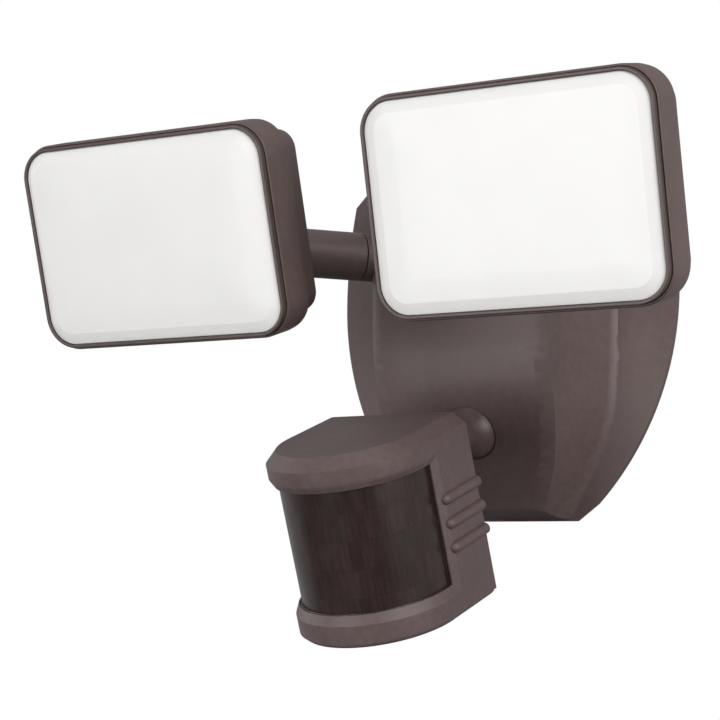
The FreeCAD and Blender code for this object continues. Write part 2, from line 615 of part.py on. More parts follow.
def arm(side, sign):
    base, corner, outward = armLine(sign)
    ahead = V(0, -1, 0)
    turn = outward.getAngle(ahead)
    reach = size("armBendRadius") * math.tan(turn / 2)
    bendStart, bendEnd = corner - outward * reach, corner + ahead * reach
    inward = (ahead - outward).normalize()
    middle = corner + inward * (size("armBendRadius") / math.cos(turn / 2) - size("armBendRadius"))
    end = V(corner.x, -(size("headPivotOut") - size("neckStart")), corner.z)

    def tube(radius, start):
        path = Part.Wire([Part.LineSegment(start, bendStart).toShape(),
                          Part.Arc(bendStart, middle, bendEnd).toShape(),
                          Part.LineSegment(bendEnd, end).toShape()])
        ring = Part.Wire(Part.makeCircle(radius, start, outward))
        return path.makePipeShell([ring], True, True)

    spigotStart = base - outward * size("spigotLength")
    spigot = Part.makeCylinder(size("spigotRadius"), size("spigotLength") + 1, spigotStart, outward)
    solid = tube(size("armRadius"), base).fuse(spigot)
    bore = tube(size("armBore"), spigotStart)
    name = side + "_arm"
    shapedPart(name, solid.cut(bore).removeSplitter())

    place = armPlacement(sign)
    ring = turnedBody(side + "_arm_seal", [
        ("spigotRadius + 0.2", "-sealThick"), ("armRadius - sealInset", "-sealThick"),
        ("armRadius - sealInset", "0"), ("spigotRadius + 0.2", "0")])
    ring.Placement = place
    back = size("armBossDepth")
    nut = hexPrism(size("nutFlats"), -back - size("nutThick"), -back)
    nut = nut.cut(outRod(size("spigotRadius") + 0.05, -back - 20, 5))
    shapedPart(side + "_arm_nut", nut, place)

    # the ball on the arm's end, with a collar that closes the tube
    ball = ballAt(size("ballRadius"))
    neck = Part.makeCylinder(size("neckRadius"), size("neckStart") - 0.5, V(0, 0, 0), V(0, 1, 0))
    collar = Part.makeCone(size("neckRadius"), size("armRadius") - 0.5, 1.4,
                           V(0, size("neckStart") - 1.4, 0), V(0, 1, 0))
    stub = Part.makeCylinder(size("armBore") - 0.3, 2.2, V(0, size("neckStart") - 0.2, 0), V(0, 1, 0))
    hole = Part.makeCylinder(2.4, 60, V(0, -30, 0), V(0, 1, 0))
    solid = ball.fuse([neck, collar, stub]).removeSplitter().cut(hole)
    pivot = V(sign * size("headPivotX"), -size("headPivotOut"), size("armHeight"))
    shapedPart(side + "_arm_ball", solid, FreeCAD.Placement(pivot, FreeCAD.Rotation()))


# lamp heads
def headPlacement(side, sign):
    pivot = V(sign * size("headPivotX"), -size("headPivotOut"), size("armHeight"))
    return FreeCAD.Placement(pivot, FreeCAD.Rotation(V(1, 0, 0), size(side + "Pitch")))


def roundedSection(inset, out, rise=0.0):
    # the lens outline drawn in by an inset (or out by a negative one), at a distance out from the pivot
    wide, tall = size("lensWide") / 2 - inset, size("lensTall") / 2 - inset
    bend = max(1.5, size("lensCorner") - inset)
    middle = size("lensRise") + rise
    edges = []
    for signX, signZ in ((1, 1), (-1, 1), (-1, -1), (1, -1)):
        centre = V(signX * (wide - bend), -out, middle + signZ * (tall - bend))
        diagonal = bend * math.sqrt(0.5)
        ends = [centre + V(signX * bend, 0, 0), centre + V(0, 0, signZ * bend)]
        if signX * signZ < 0:
            ends.reverse()
        edges.append((ends[0], centre + V(signX * diagonal, 0, signZ * diagonal), ends[1]))
    wire = []
    for (start, bendPoint, end), following in zip(edges, edges[1:] + edges[:1]):
        wire.append(Part.Arc(start, bendPoint, end).toShape())
        wire.append(Part.LineSegment(end, following[0]).toShape())
    return Part.Wire(wire)


def roundedBlock(inset, start, end):
    return Part.Face(roundedSection(inset, start)).extrude(V(0, start - end, 0))


def roundedLoft(*sections):
    return Part.makeLoft([roundedSection(inset, out) for inset, out in sections], True, True)


def headLevels():
    # distances out from the pivot of the faces that the head's pieces share
    lens = size("lensOut")
    bezelFront = lens + size("bezelProud")
    bezelBack = bezelFront - size("bezelDepth")
    flangeBack = bezelBack - size("lensFlange")
    ledge = flangeBack - size("headGasketThick")
    front = bezelBack + size("bezelSunk")
    back = front - size("headDepth")
    return {"lens": lens, "bezelFront": bezelFront, "bezelBack": bezelBack, "flangeBack": flangeBack,
            "ledge": ledge, "front": front, "back": back, "floor": back + size("headWall"),
            "panBack": back - size("panDepth")}


def headScrewPlaces():
    return [(signX * size("headScrewX"), size("lensRise") + signZ * size("headScrewZ"))
            for signX in (-1, 1) for signZ in (-1, 1)]


def headHousing(side, place):
    at = headLevels()
    outside = -(size("bezelWide") + size("headOverhang"))
    edge = size("headEdgeRadius")
    block = roundedLoft((outside + 1.6, at["back"]), (outside + 0.3, at["back"] + 1.8),
                        (outside, at["back"] + 5), (outside, at["front"] - edge),
                        (outside + 0.4, at["front"]))
    wall = size("headWall")
    inner = outside + wall
    lip = -(size("bezelWide") + 0.2)
    hollow = [roundedBlock(inner, at["floor"], at["ledge"] - 2.5),
              roundedBlock(inner + size("ledgeWide") - 0.6, at["ledge"] - 3, at["ledge"] + 1),
              roundedBlock(lip, at["ledge"], at["front"] + 1),
              roundedBlock(13.0, at["back"] - 1, at["floor"] + 1)]
    shell = block.cut(hollow)
    posts = [outRod(size("headPostRadius"), at["floor"] - 0.5, at["floor"] + 4.8, x, z)
             for x, z in headScrewPlaces()]
    shell = shell.fuse(posts)
    holes = [outRod(size("headScrewRadius"), at["back"] - 1, at["floor"] + 3.6, x, z)
             for x, z in headScrewPlaces()]
    return shapedPart(side + "_head_housing", shell.cut(holes).removeSplitter(), place)


def headPan(side, place):
    # the narrower rear pan, with the ball socket's boss on its back
    at = headLevels()
    inset = size("panInset") - size("bezelWide") - size("headOverhang")
    block = roundedLoft((inset + 2.2, at["panBack"]), (inset + 0.4, at["panBack"] + 2.0),
                        (inset, at["panBack"] + 5), (inset, at["back"]))
    boss = outRod(size("socketRadius"), 1.5, at["panBack"] + 1)
    wall = size("headWall")
    solid = block.cut(roundedBlock(inset + wall, at["panBack"] + wall, at["back"] + 1))
    posts = [outRod(size("panPostRadius"), at["panBack"] + 1, at["back"], x, z) for x, z in headScrewPlaces()]
    solid = solid.fuse([boss] + posts)
    cupRoom = size("ballRadius") + size("ballGap") + size("cupThick") + size("cupGap")
    cuts = [ballAt(cupRoom), outRod(cupRoom, 0, 1.6), outRod(size("wireHole"), 0, at["back"])]
    for x, z in headScrewPlaces():
        sunk = at["panBack"] + size("headScrewSink")
        cuts.append(outRod(size("headScrewHead") + 0.3, at["panBack"] - 1, sunk, x, z))
        cuts.append(outRod(size("headScrewRadius") + 0.2, at["panBack"], at["back"] + 1, x, z))
    return shapedPart(side + "_head_pan", solid.cut(cuts).removeSplitter(), place)


def socketRing(side, place):
    # the threaded ring that holds the ball in its socket, with finger grips round it
    outer = size("socketRadius") + size("ringGrip")
    skirtEnd = headLevels()["panBack"] - 3.5
    rim = size("ballRadius") + size("ballGap")
    lip = rim * math.cos(math.radians(size("socketRimAngle")))
    ring = Part.makeCone(outer - 1.2, outer, 1.2, V(0, lip + 0.6, 0), V(0, -1, 0))
    ring = ring.fuse(outRod(outer, -lip + 0.6, skirtEnd)).removeSplitter()
    grips = []
    count = int(size("gripCount"))
    for turn in range(count):
        angle = 2 * math.pi * turn / count
        x, z = (outer + 0.5) * math.cos(angle), (outer + 0.5) * math.sin(angle)
        grips.append(outRod(size("gripRadius"), -20, skirtEnd - 1.2, x, z))
    cupRoom = size("ballRadius") + size("ballGap") + size("cupThick") + size("cupGap")
    cuts = [ballAt(rim), outRod(cupRoom, 0, 1.6), outRod(size("socketRadius") + 0.1, 1.5, skirtEnd + 1)]
    mouth = rim * math.sin(math.radians(size("socketRimAngle")))
    cuts.append(Part.makeCone(mouth, mouth + 1.6, 2.0, V(0, lip - 0.1, 0), V(0, 1, 0)))
    return shapedPart(side + "_socket_ring", ring.cut(grips + cuts), place)


def frictionCup(name, ball, thick, angle, hole, place):
    # a cup of a sphere's shell about the direction out, open past an angle from its pole
    shell = ballAt(ball + thick).cut(ballAt(ball))
    reach = 3 * ball
    edge = math.radians(angle)
    spots = [V(0, 0, 0), V(reach * math.sin(edge), -reach * math.cos(edge), 0), V(0, -reach, 0)]
    keep = Part.Face(Part.makePolygon(spots + spots[:1])).revolve(V(0, 0, 0), V(0, 1, 0), 360)
    return shapedPart(name, shell.common(keep).cut(outRod(hole, 0, reach)), place)


def headFront(side, place):
    at = headLevels()
    bezel = newBody(side + "_head_bezel")
    sketch = newSketch(bezel, offset="lensOut + bezelProud - bezelDepth")
    drawRoundedRectangle(sketch, "lensWide/2 + bezelWide", "lensTall/2 + bezelWide",
                         "lensCorner + bezelWide", "lensRise")
    drawRoundedRectangle(sketch, "lensWide/2 + lensGap", "lensTall/2 + lensGap",
                         "lensCorner + lensGap", "lensRise")
    pad(bezel, sketch, "bezelDepth")
    bezel.Placement = place

    gasket = newBody(side + "_lens_gasket")
    sketch = newSketch(gasket, offset="lensOut + bezelProud - bezelDepth - lensFlange - headGasketThick")
    drawRoundedRectangle(sketch, "lensWide/2 + bezelWide - 0.5", "lensTall/2 + bezelWide - 0.5",
                         "lensCorner + bezelWide - 0.5", "lensRise")
    drawRoundedRectangle(sketch, "lensWide/2 + bezelWide - 4", "lensTall/2 + bezelWide - 4",
                         "lensCorner + bezelWide - 4", "lensRise")
    pad(gasket, sketch, "headGasketThick")
    gasket.Placement = place

    # the lens: a flange under the bezel, an upright edge, a slanted border and a low dome
    dome = at["lens"] + size("lensDome")
    body = roundedLoft((0, at["bezelBack"]), (0, at["lens"] - 0.4), (0.4, at["lens"]), (4.2, dome - 0.7),
                       (12, dome - 0.25), (24, dome))
    flange = roundedBlock(-size("bezelWide") + 0.5, at["flangeBack"], at["bezelBack"])
    hollow = roundedBlock(size("lensThick"), at["flangeBack"] - 1, at["lens"] - 1.0)
    shapedPart(side + "_lens", body.fuse(flange).removeSplitter().cut(hollow), place)


def headInside(side, place):
    at = headLevels()
    plate = newBody(side + "_heat_plate")
    floor = "lensOut + bezelProud - bezelDepth + bezelSunk - headDepth + headWall"
    sketch = newSketch(plate, offset=floor)
    drawRoundedRectangle(sketch, "40", "30", "6", "lensRise")
    pad(plate, sketch, "heatPlateThick")
    plate.Placement = place
    board = newBody(side + "_led_board")
    sketch = newSketch(board, offset=floor + " + heatPlateThick")
    drawRoundedRectangle(sketch, "39.5", "29.5", "5.5", "lensRise")
    pad(board, sketch, "ledBoardThick")
    board.Placement = place
    start = at["floor"] + size("heatPlateThick") + size("ledBoardThick")
    half = size("ledSize") / 2
    chips = []
    for column in range(int(size("ledColumns"))):
        for row in range(int(size("ledRows"))):
            x = (column - (size("ledColumns") - 1) / 2) * size("ledPitchX") * 0.9
            z = size("lensRise") + (row - (size("ledRows") - 1) / 2) * size("ledPitchZ")
            chips.append(outBox((x - half, x + half), (z - half, z + half),
                                start, start + size("ledThick")))
    shapedPart(side + "_led_chips", Part.makeCompound(chips), place)
    screws = []
    for x, z in headScrewPlaces():
        reach = size("panDepth") - size("headScrewSink") + size("headScrewReach")
        screw = panScrew(size("headScrewHead"), 2.2, size("headScrewRadius") - 0.05, reach)
        screw = screw.mirror(V(0, 0, 0), V(0, 1, 0))
        screw.translate(V(x, -(at["panBack"] + size("headScrewSink")), z))
        screws.append(screw)
    shapedPart(side + "_head_screws", Part.makeCompound(screws), place)


def lampHead(side, sign):
    place = headPlacement(side, sign)
    headHousing(side, place)
    headPan(side, place)
    socketRing(side, place)
    headFront(side, place)
    headInside(side, place)
    frictionCup(side + "_ball_cup", size("ballRadius") + size("ballGap"), size("cupThick"),
                size("cupAngle"), size("wireHole"), place)


# sensor
def sensorPlacement():
    middle, _ = seatFrame()
    pan = FreeCAD.Rotation(V(0, 0, 1), size("sensorPan"))
    pitch = FreeCAD.Rotation(V(1, 0, 0), size("sensorPitch"))
    return FreeCAD.Placement(middle, pan * pitch)


def sensorOutline(inset, z, rearInset=None):
    # a D outline: a straight rear with small corners, straight sides and a round front
    half = size("sensorHalfWidth") - inset
    rear = -(size("sensorRear") + (inset if rearInset is None else rearInset))
    middle = -(size("sensorRear") + size("sensorStraight"))
    bend = max(0.8, size("sensorCorner") - inset)
    corner = bend * (1 - math.sqrt(0.5))
    return Part.Wire([
        Part.Arc(V(half, middle, z), V(0, middle - half, z), V(-half, middle, z)).toShape(),
        Part.LineSegment(V(-half, middle, z), V(-half, rear - bend, z)).toShape(),
        Part.Arc(V(-half, rear - bend, z), V(-half + corner, rear - corner, z),
                 V(-half + bend, rear, z)).toShape(),
        Part.LineSegment(V(-half + bend, rear, z), V(half - bend, rear, z)).toShape(),
        Part.Arc(V(half - bend, rear, z), V(half - corner, rear - corner, z),
                 V(half, rear - bend, z)).toShape(),
        Part.LineSegment(V(half, rear - bend, z), V(half, middle, z)).toShape()])


def sensorSlab(inset, bottom, top):
    return Part.Face(sensorOutline(inset, bottom)).extrude(V(0, 0, top - bottom))


def sensorTaper(inset1, z1, inset2, z2, rearInset=None):
    return Part.makeLoft([sensorOutline(inset1, z1), sensorOutline(inset2, z2, rearInset)], True, True)


def frontOf(edge, bottom, top):
    # everything in front of a distance from the sensor's pivot, between two heights
    return outBox((-60, 60), (bottom, top), edge, 140)


def sensorScrewPlaces():
    x, y = size("sensorHalfWidth") - 6.1, -(size("sensorRear") + 5.9)
    return [(-x, y), (x, y)]


def sensorPosts():
    heights = (size("sensorPostLow"), size("sensorPostHigh"))
    return [(sign * size("sensorPostX"), z) for sign in (-1, 1) for z in heights]


def windowEdge():
    # how far out the sensor's side walls end
    return size("sensorRear") + size("sensorStraight") - 4.0


def sensorHousing(place):
    wall, rear = size("sensorWall"), size("sensorRear")
    bevelEnd = size("sensorTop") - size("sensorBevel")
    block = sensorSlab(0, size("baseSeam"), bevelEnd)
    roof = sensorTaper(0, bevelEnd, size("sensorBevel"), size("sensorTop"), 1.6)
    block = block.fuse(roof).removeSplitter()
    hollow = sensorSlab(wall, size("baseSeam") - 1, bevelEnd - 0.9)
    hollow = hollow.fuse(sensorTaper(wall, bevelEnd - 0.9, wall + size("sensorBevel") - 1.2,
                                     size("sensorTop") - wall, 1.6 + wall))
    shell = block.cut(hollow)

    # the window's opening, and the slanted frame that leads in to it all round
    edge, wide, deep = windowEdge(), size("frameWide"), size("frameDeep")
    sill, visor = size("windowBottom"), size("sensorTop") - size("visorDrop")
    low, high, half = sill - size("sillTall"), visor + wide, size("sensorHalfWidth")
    plan = [V(-half, wide - edge, low), V(deep - half, -edge, low), V(half - deep, -edge, low),
            V(half, wide - edge, low)]
    between = Part.Face(Part.makePolygon(plan + plan[:1])).extrude(V(0, 0, high - low))
    frame = frontOf(edge - wide, low, high)
    frame = frame.cut([between, sensorTaper(deep, visor, 0, high), sensorTaper(0, low, deep, sill)])
    shell = shell.cut([frontOf(edge, sill, visor), frame])

    ribs = []
    reach = rear + size("ribLength")
    for sign in (-1, 1):
        for step in range(int(size("ribCount"))):
            x, z = sign * size("sensorHalfWidth"), size("ribFirst") - step * size("ribPitch")
            ribs += [outRod(size("ribRadius"), rear + 0.8, reach, x, z),
                     ballAt(size("ribRadius"), V(x, -reach, z))]
    shell = shell.fuse([rib.cut(hollow) for rib in ribs])

    posts = [Part.makeCylinder(size("sensorScrewPost"), 16, V(x, y, size("baseTop")))
             for x, y in sensorScrewPlaces()]
    for x, z in sensorPosts():
        pegEnd = size("sensorBoardOut") + size("boardThick") + 1.2
        posts += [outRod(size("sensorPostRadius"), rear + wall - 0.5, size("sensorBoardOut"), x, z),
                  outRod(size("sensorPegRadius"), rear + wall, pegEnd, x, z)]
    shell = shell.fuse(posts)
    cuts = [outRod(size("neckSpigot") + size("fitGap"), 40, rear + wall + 1)]
    for x, y in sensorScrewPlaces():
        cuts.append(Part.makeCylinder(size("sensorScrewRadius"), 11, V(x, y, size("baseTop") - 1)))
    return shapedPart("sensor_housing", shell.cut(cuts).removeSplitter(), place)


def sensorWindow(place):
    # a clear half tube with an outward rim that sits behind the visor, the sill and the side walls
    bottom, top = size("windowBottom") - 2.5, size("sensorTop") - size("visorDrop") + 2.5
    recess = size("sensorHalfWidth") - size("windowRadius")
    back = windowEdge() - 3.5
    outer = sensorSlab(recess, bottom, top)
    inner = sensorSlab(recess + size("windowThick"), bottom - 1, top + 1)
    rim = sensorSlab(size("sensorWall"), bottom, top).cut(
        frontOf(windowEdge() - size("windowGap"), bottom + 2.2, top - 2.2))
    solid = outer.fuse(rim).cut(inner).common(frontOf(back, bottom, top))
    return shapedPart("sensor_window", solid.removeSplitter(), place)


def controlBoardZ():
    return size("baseTop") + 0.4


def controlPosts():
    spots = (size("dialOut") - size("controlPostBack"), size("dialOut") + size("controlPostFront"))
    return [(sign * size("controlPostX"), -out) for sign in (-1, 1) for out in spots]


def sensorBase(place):
    bottom, top, inset = size("sensorBottom"), size("baseTop"), size("baseInset")
    floor, lipInset = bottom + size("baseThick"), size("sensorWall") + size("fitGap")
    tray = sensorSlab(inset, bottom + inset, size("baseSeam"))
    tray = tray.fuse(sensorTaper(2 * inset, bottom, inset, bottom + inset)).removeSplitter()
    # the lip stands inside the housing's walls
    lip = sensorSlab(lipInset, size("baseSeam") - 0.5, top + 1.8)
    lip = lip.cut(sensorSlab(lipInset + size("lipThick"), floor, top + 3))
    posts = [Part.makeCylinder(size("controlPostRadius"), controlBoardZ() - floor, V(x, y, floor))
             for x, y in controlPosts()]
    within = sensorSlab(lipInset, bottom, top)
    posts += [Part.makeCylinder(size("sensorScrewPost"), top - floor, V(x, y, floor)).common(within)
              for x, y in sensorScrewPlaces()]
    tray = tray.fuse([lip] + posts)
    out = -size("dialOut")
    room = size("sensorScrewPost") + 2 * size("fitGap")
    cuts = [Part.makeCylinder(room, 4, V(x, y, top)) for x, y in sensorScrewPlaces()]
    for x, y in sensorScrewPlaces():
        cuts.append(Part.makeCylinder(size("sensorScrewRadius") + 0.3, 12, V(x, y, bottom - 1)))
        cuts.append(Part.makeCylinder(3.2, 3.2, V(x, y, bottom - 1)))
    cuts.append(Part.makeCylinder(size("dialRadius") + 0.3, 10, V(size("dialX"), out, bottom - 5)))
    halfX = size("switchLength") / 2 + size("switchTravel") / 2 + 0.4
    halfY = size("switchWide") / 2 + 0.35
    cuts.append(outBox((size("switchX") - halfX, size("switchX") + halfX), (bottom - 5, bottom + 3.5),
                       size("switchOut") - halfY, size("switchOut") + halfY))
    return shapedPart("sensor_base", tray.cut(cuts).removeSplitter(), place)


def sensorControls(place):
    # a small board over the base carries the dial's turning part and the switch's case
    under = controlBoardZ()
    body = newBody("control_board")
    sketch = newSketch(body, "XY_Plane", "baseTop + 0.4")
    drawPolygon(sketch, [("-24", "-dialOut - 10"), ("24", "-dialOut - 10"), ("24", "-dialOut + 12"),
                         ("-24", "-dialOut + 12")])
    pad(body, sketch, "boardThick")
    body.Placement = place
    x, out, bottom = size("dialX"), size("dialOut"), size("sensorBottom")
    case = Part.makeCylinder(5.0, under - bottom - 4.4, V(x, -out, bottom + 4.4))
    case = case.cut(Part.makeCylinder(1.75, 20, V(x, -out, bottom)))
    slide = outBox((size("switchX") - 7.5, size("switchX") + 7.5), (bottom + 4.4, under),
                   out - 3.5, out + 3.5)
    reach = size("switchTravel") / 2 + 1.9
    slide = slide.cut(outBox((size("switchX") - reach, size("switchX") + reach), (bottom, under - 0.8),
                             out - 1.6, out + 1.6))
    shapedPart("dial_case", case, place)
    shapedPart("switch_case", slide, place)

    dial = Part.makeCylinder(size("dialRadius"), 5.4, V(x, -out, bottom - size("dialProud")))
    rim = [edge for edge in dial.Edges if edge.CenterOfMass.z < bottom - size("dialProud") + 0.01
           and edge.Curve.TypeId == "Part::GeomCircle"]
    dial = dial.makeFillet(0.5, rim)
    dial = dial.fuse(Part.makeCylinder(1.7, under - bottom - 2.0, V(x, -out, bottom + 1.0)))
    slot = outBox((x - 4.2, x + 4.2), (bottom - 3, bottom - size("dialProud") + 1.1), out - 0.7, out + 0.7)
    shapedPart("range_dial", dial.cut(slot).removeSplitter(), place)

    halfX, halfY, middle = size("switchLength") / 2, size("switchWide") / 2, size("switchX")
    button = outBox((middle - halfX, middle + halfX), (bottom - 1.0, bottom + 4.1),
                    out - halfY, out + halfY)
    stem = outBox((middle - 1.6, middle + 1.6), (bottom + 3, under - 1.1), out - 1.3, out + 1.3)
    grooves = [outBox((middle + step - 0.3, middle + step + 0.3), (bottom - 2, bottom - 0.6),
                      out - 4, out + 4) for step in (-1.2, 0, 1.2)]
    shapedPart("time_switch", button.fuse(stem).cut(grooves).removeSplitter(), place)


def sensorInside(place):
    out, thick = size("sensorBoardOut"), size("boardThick")
    body = newBody("sensor_board")
    sketch = newSketch(body, offset="sensorBoardOut")
    drawPolygon(sketch, [("-23", "-35"), ("23", "-35"), ("23", "10"), ("-23", "10")])
    for x, z in sensorPosts():
        drawCircle(sketch, "sensorPegRadius + fitGap/3", repr(x), repr(z))
    pad(body, sketch, "boardThick")
    body.Placement = place
    front = out + thick
    can = outRod(4.6, front, front + 4.2, 0, -14).fuse(outRod(5.2, front, front + 0.6, 0, -14))
    can = can.cut(outBox((-2.0, 2.0), (-15.5, -12.5), front + 3.8, front + 6)).removeSplitter()
    shapedPart("heat_detector", can, place)
    cell = outRod(2.5, front, front + 1.8, 11, -24).fuse(ballAt(2.5, V(11, -front - 1.8, -24)))
    shapedPart("light_cell", cell.cut(outRod(5, front - 6, front, 11, -24)).removeSplitter(), place)


def sensorJoint(place):
    rear = size("sensorRear")
    ball = ballAt(size("sensorBall"))
    neck = outRod(size("sensorNeck"), 0, rear - size("neckFlangeThick") + 0.5)
    flange = Part.makeCone(size("sensorNeck"), size("neckFlange"), 3.0,
                           V(0, -(rear - size("neckFlangeThick") - 3.0), 0), V(0, -1, 0))
    flange = flange.fuse(outRod(size("neckFlange"), rear - size("neckFlangeThick"), rear))
    spigot = outRod(size("neckSpigot"), rear - 1, rear + size("neckSpigotLength"))
    solid = ball.fuse([neck, flange, spigot]).removeSplitter()
    shapedPart("sensor_neck", solid.cut(outRod(size("neckBore"), -20, 80)), place)
    start = rear + size("sensorWall")
    nut = hexPrism(size("neckNutFlats"), start, start + size("neckNutThick"))
    shapedPart("neck_nut", nut.cut(outRod(size("neckSpigot") + 0.05, start - 5, start + 20)), place)

    middle, outward = seatFrame()
    along = FreeCAD.Placement(middle, FreeCAD.Rotation(V(0, 1, 0), outward))
    frictionCup("sensor_cup", size("sensorBall") + size("ballGap"), size("sensorCup"),
                size("sensorCupAngle"), 7.0, along)
    far, near = -size("clampDepth") - 7.0, -4.0
    clamp = turnedRing([(8.0, far), (size("clampRadius"), far), (size("clampRadius"), near), (8.0, near)])
    clamp = clamp.cut(Part.makeSphere(size("sensorBall") + size("ballGap") + size("sensorCup") + 0.2))
    for turn in range(3):
        angle = math.radians(120 * turn)
        clamp = clamp.cut(Part.makeCylinder(1.6, 3, V(12 * math.cos(angle), 12 * math.sin(angle), far - 1)))
    shapedPart("sensor_clamp", alongSeat(clamp))


def sensor():
    place = sensorPlacement()
    sensorHousing(place)
    sensorWindow(place)
    sensorBase(place)
    sensorControls(place)
    sensorInside(place)
    sensorJoint(place)
    screws = []
    for x, y in sensorScrewPlaces():
        screw = panScrew(2.8, 1.8, size("sensorScrewRadius") - 0.05, 11.0)
        turn = FreeCAD.Rotation(V(1, 0, 0), 90)
        screw.Placement = FreeCAD.Placement(V(x, y, size("sensorBottom") + 2.2), turn)
        screws.append(screw)
    shapedPart("sensor_screws", Part.makeCompound(screws), place)


# build, check and write
def checkedParts():
    doc.recompute()
    for item in doc.Objects:
        if {"Invalid", "Error"} & set(item.State):
            raise RuntimeError("%s did not recompute: %s" % (item.Name, item.State))
    parts = [item for item in doc.Objects if item.TypeId in ("PartDesign::Body", "Part::Feature")]
    for part in parts:
        if part.Shape.isNull() or not part.Shape.isValid() or not part.Shape.Solids:
            raise RuntimeError("%s has no valid shape" % part.Label)
    return parts


housingCover()
wallGasket()
wallBracket()
coverFixings()
driver()
for sideName, sideSign in (("left", -1), ("right", 1)):
    arm(sideName, sideSign)
    lampHead(sideName, sideSign)
sensor()

os.makedirs("parts", exist_ok=True)
for part in checkedParts():
    part.Shape.exportStep("parts/%s.step" % part.Label)
    print(part.Label, len(part.Shape.Solids), round(part.Shape.Volume, 1))
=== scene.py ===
import json
import math
import bpy
import bmesh
from mathutils import Matrix, Vector

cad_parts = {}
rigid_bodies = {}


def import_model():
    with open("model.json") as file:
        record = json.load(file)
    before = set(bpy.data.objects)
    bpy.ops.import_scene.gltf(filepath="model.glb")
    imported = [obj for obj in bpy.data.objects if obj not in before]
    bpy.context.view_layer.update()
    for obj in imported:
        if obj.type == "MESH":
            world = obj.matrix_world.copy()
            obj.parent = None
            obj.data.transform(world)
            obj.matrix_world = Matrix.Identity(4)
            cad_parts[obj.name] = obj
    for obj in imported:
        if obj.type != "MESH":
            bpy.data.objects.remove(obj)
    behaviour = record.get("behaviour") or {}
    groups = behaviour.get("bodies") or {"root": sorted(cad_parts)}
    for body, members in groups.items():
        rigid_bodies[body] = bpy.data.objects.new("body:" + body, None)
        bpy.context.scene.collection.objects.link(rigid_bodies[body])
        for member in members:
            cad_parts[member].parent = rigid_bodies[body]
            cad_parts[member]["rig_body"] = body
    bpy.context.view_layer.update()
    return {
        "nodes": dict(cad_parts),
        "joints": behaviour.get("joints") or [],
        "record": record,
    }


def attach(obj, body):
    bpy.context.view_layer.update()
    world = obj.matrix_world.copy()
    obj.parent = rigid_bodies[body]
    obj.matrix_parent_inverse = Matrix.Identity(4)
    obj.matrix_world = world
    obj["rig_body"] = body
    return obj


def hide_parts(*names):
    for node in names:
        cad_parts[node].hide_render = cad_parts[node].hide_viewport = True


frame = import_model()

nodes = frame["nodes"]
slotOf = {part["node"]: part["material_slot"] for part in frame["record"]["subparts"]}
jointAt = {joint["name"]: Vector(joint["pos_m"]) for joint in frame["joints"] if joint["type"] == "hinge"}
mm = 0.001
print("frame loaded:", len(nodes), "nodes")


# colours are written as sRGB hex and turned to linear here
def toLinear(hexColour, alpha=1.0):
    channels = [int(hexColour[k:k + 2], 16) / 255 for k in (1, 3, 5)]
    return [c / 12.92 if c <= 0.04045 else ((c + 0.055) / 1.055) ** 2.4 for c in channels] + [alpha]


def addNode(owner, kind, settings=None, links=None, steps=None):
    # adds one node to a material or the world; settings name its inputs or its own options, links feed its
    # inputs from (node, output), and steps are a colour ramp's (place, hex colour) stops
    tree = owner.node_tree
    node = tree.nodes.new("ShaderNode" + kind)
    for name, given in (settings or {}).items():
        if isinstance(name, int) or name in node.inputs:
            node.inputs[name].default_value = given
        else:
            setattr(node, name, given)
    for name, (source, output) in (links or {}).items():
        tree.links.new(source.outputs[output], node.inputs[name])
    if steps:
        stops = node.color_ramp.elements
        while len(stops) < len(steps):
            stops.new(0.5)
        for stop, (place, hexColour) in zip(stops, steps):
            stop.position, stop.color = place, toLinear(hexColour)
    return node


def startMaterial(name):
    # an empty material and its coordinate node, whose object coordinates are metres on the piece
    material = bpy.data.materials.new(name)
    material.use_nodes = True
    material.node_tree.nodes.clear()
    return material, addNode(material, "TexCoord")


def mouldedPlastic(name, base, roughness, grain=0.9, depth=0.02, ior=1.53):
    # plastic moulded in a spark-eroded tool, bronze ABS on the outside: an even colour that drifts where the
    # melt flowed, a dull fine grain that spreads the highlights, and gloss that varies slightly from place to
    # place; the real grain is about 0.3 mm, drawn coarser so that it shows
    material, places = startMaterial(name)
    flow = addNode(material, "TexNoise", {"Scale": 1 / (38 * mm), "Detail": 3.0, "Roughness": 0.5},
                   {"Vector": (places, "Object")})
    speck = addNode(material, "TexNoise", {"Scale": 1 / (grain * mm), "Detail": 2.0, "Roughness": 0.6},
                    {"Vector": (places, "Object")})
    fleck = addNode(material, "TexNoise", {"Scale": 1 / (3.3 * grain * mm), "Detail": 2.0},
                    {"Vector": (places, "Object")})
    drift = addNode(material, "ValToRGB", {}, {"Fac": (flow, "Fac")}, [(0.32, "#f1f1f1"), (0.68, "#ffffff")])
    spots = addNode(material, "ValToRGB", {}, {"Fac": (fleck, "Fac")}, [(0.4, "#efefef"), (0.6, "#ffffff")])
    tint = addNode(material, "Mix", {"data_type": "RGBA", "blend_type": "MULTIPLY", 0: 1.0, 6: toLinear(base)},
                   {7: (drift, "Color")})
    colour = addNode(material, "Mix", {"data_type": "RGBA", "blend_type": "MULTIPLY", 0: 0.8},
                     {6: (tint, 2), 7: (spots, "Color")})
    gloss = addNode(material, "MapRange", {"From Min": 0.3, "From Max": 0.7, "To Min": roughness - 0.04,
                                           "To Max": roughness + 0.04}, {"Value": (fleck, "Fac")})
    relief = addNode(material, "Bump", {"Strength": 0.5, "Distance": depth * mm}, {"Height": (speck, "Fac")})
    shader = addNode(material, "BsdfPrincipled", {"IOR": ior},
                     {"Base Color": (colour, 2), "Roughness": (gloss, "Result"), "Normal": (relief, "Normal")})
    addNode(material, "OutputMaterial", {}, {"Surface": (shader, "BSDF")})
    return material


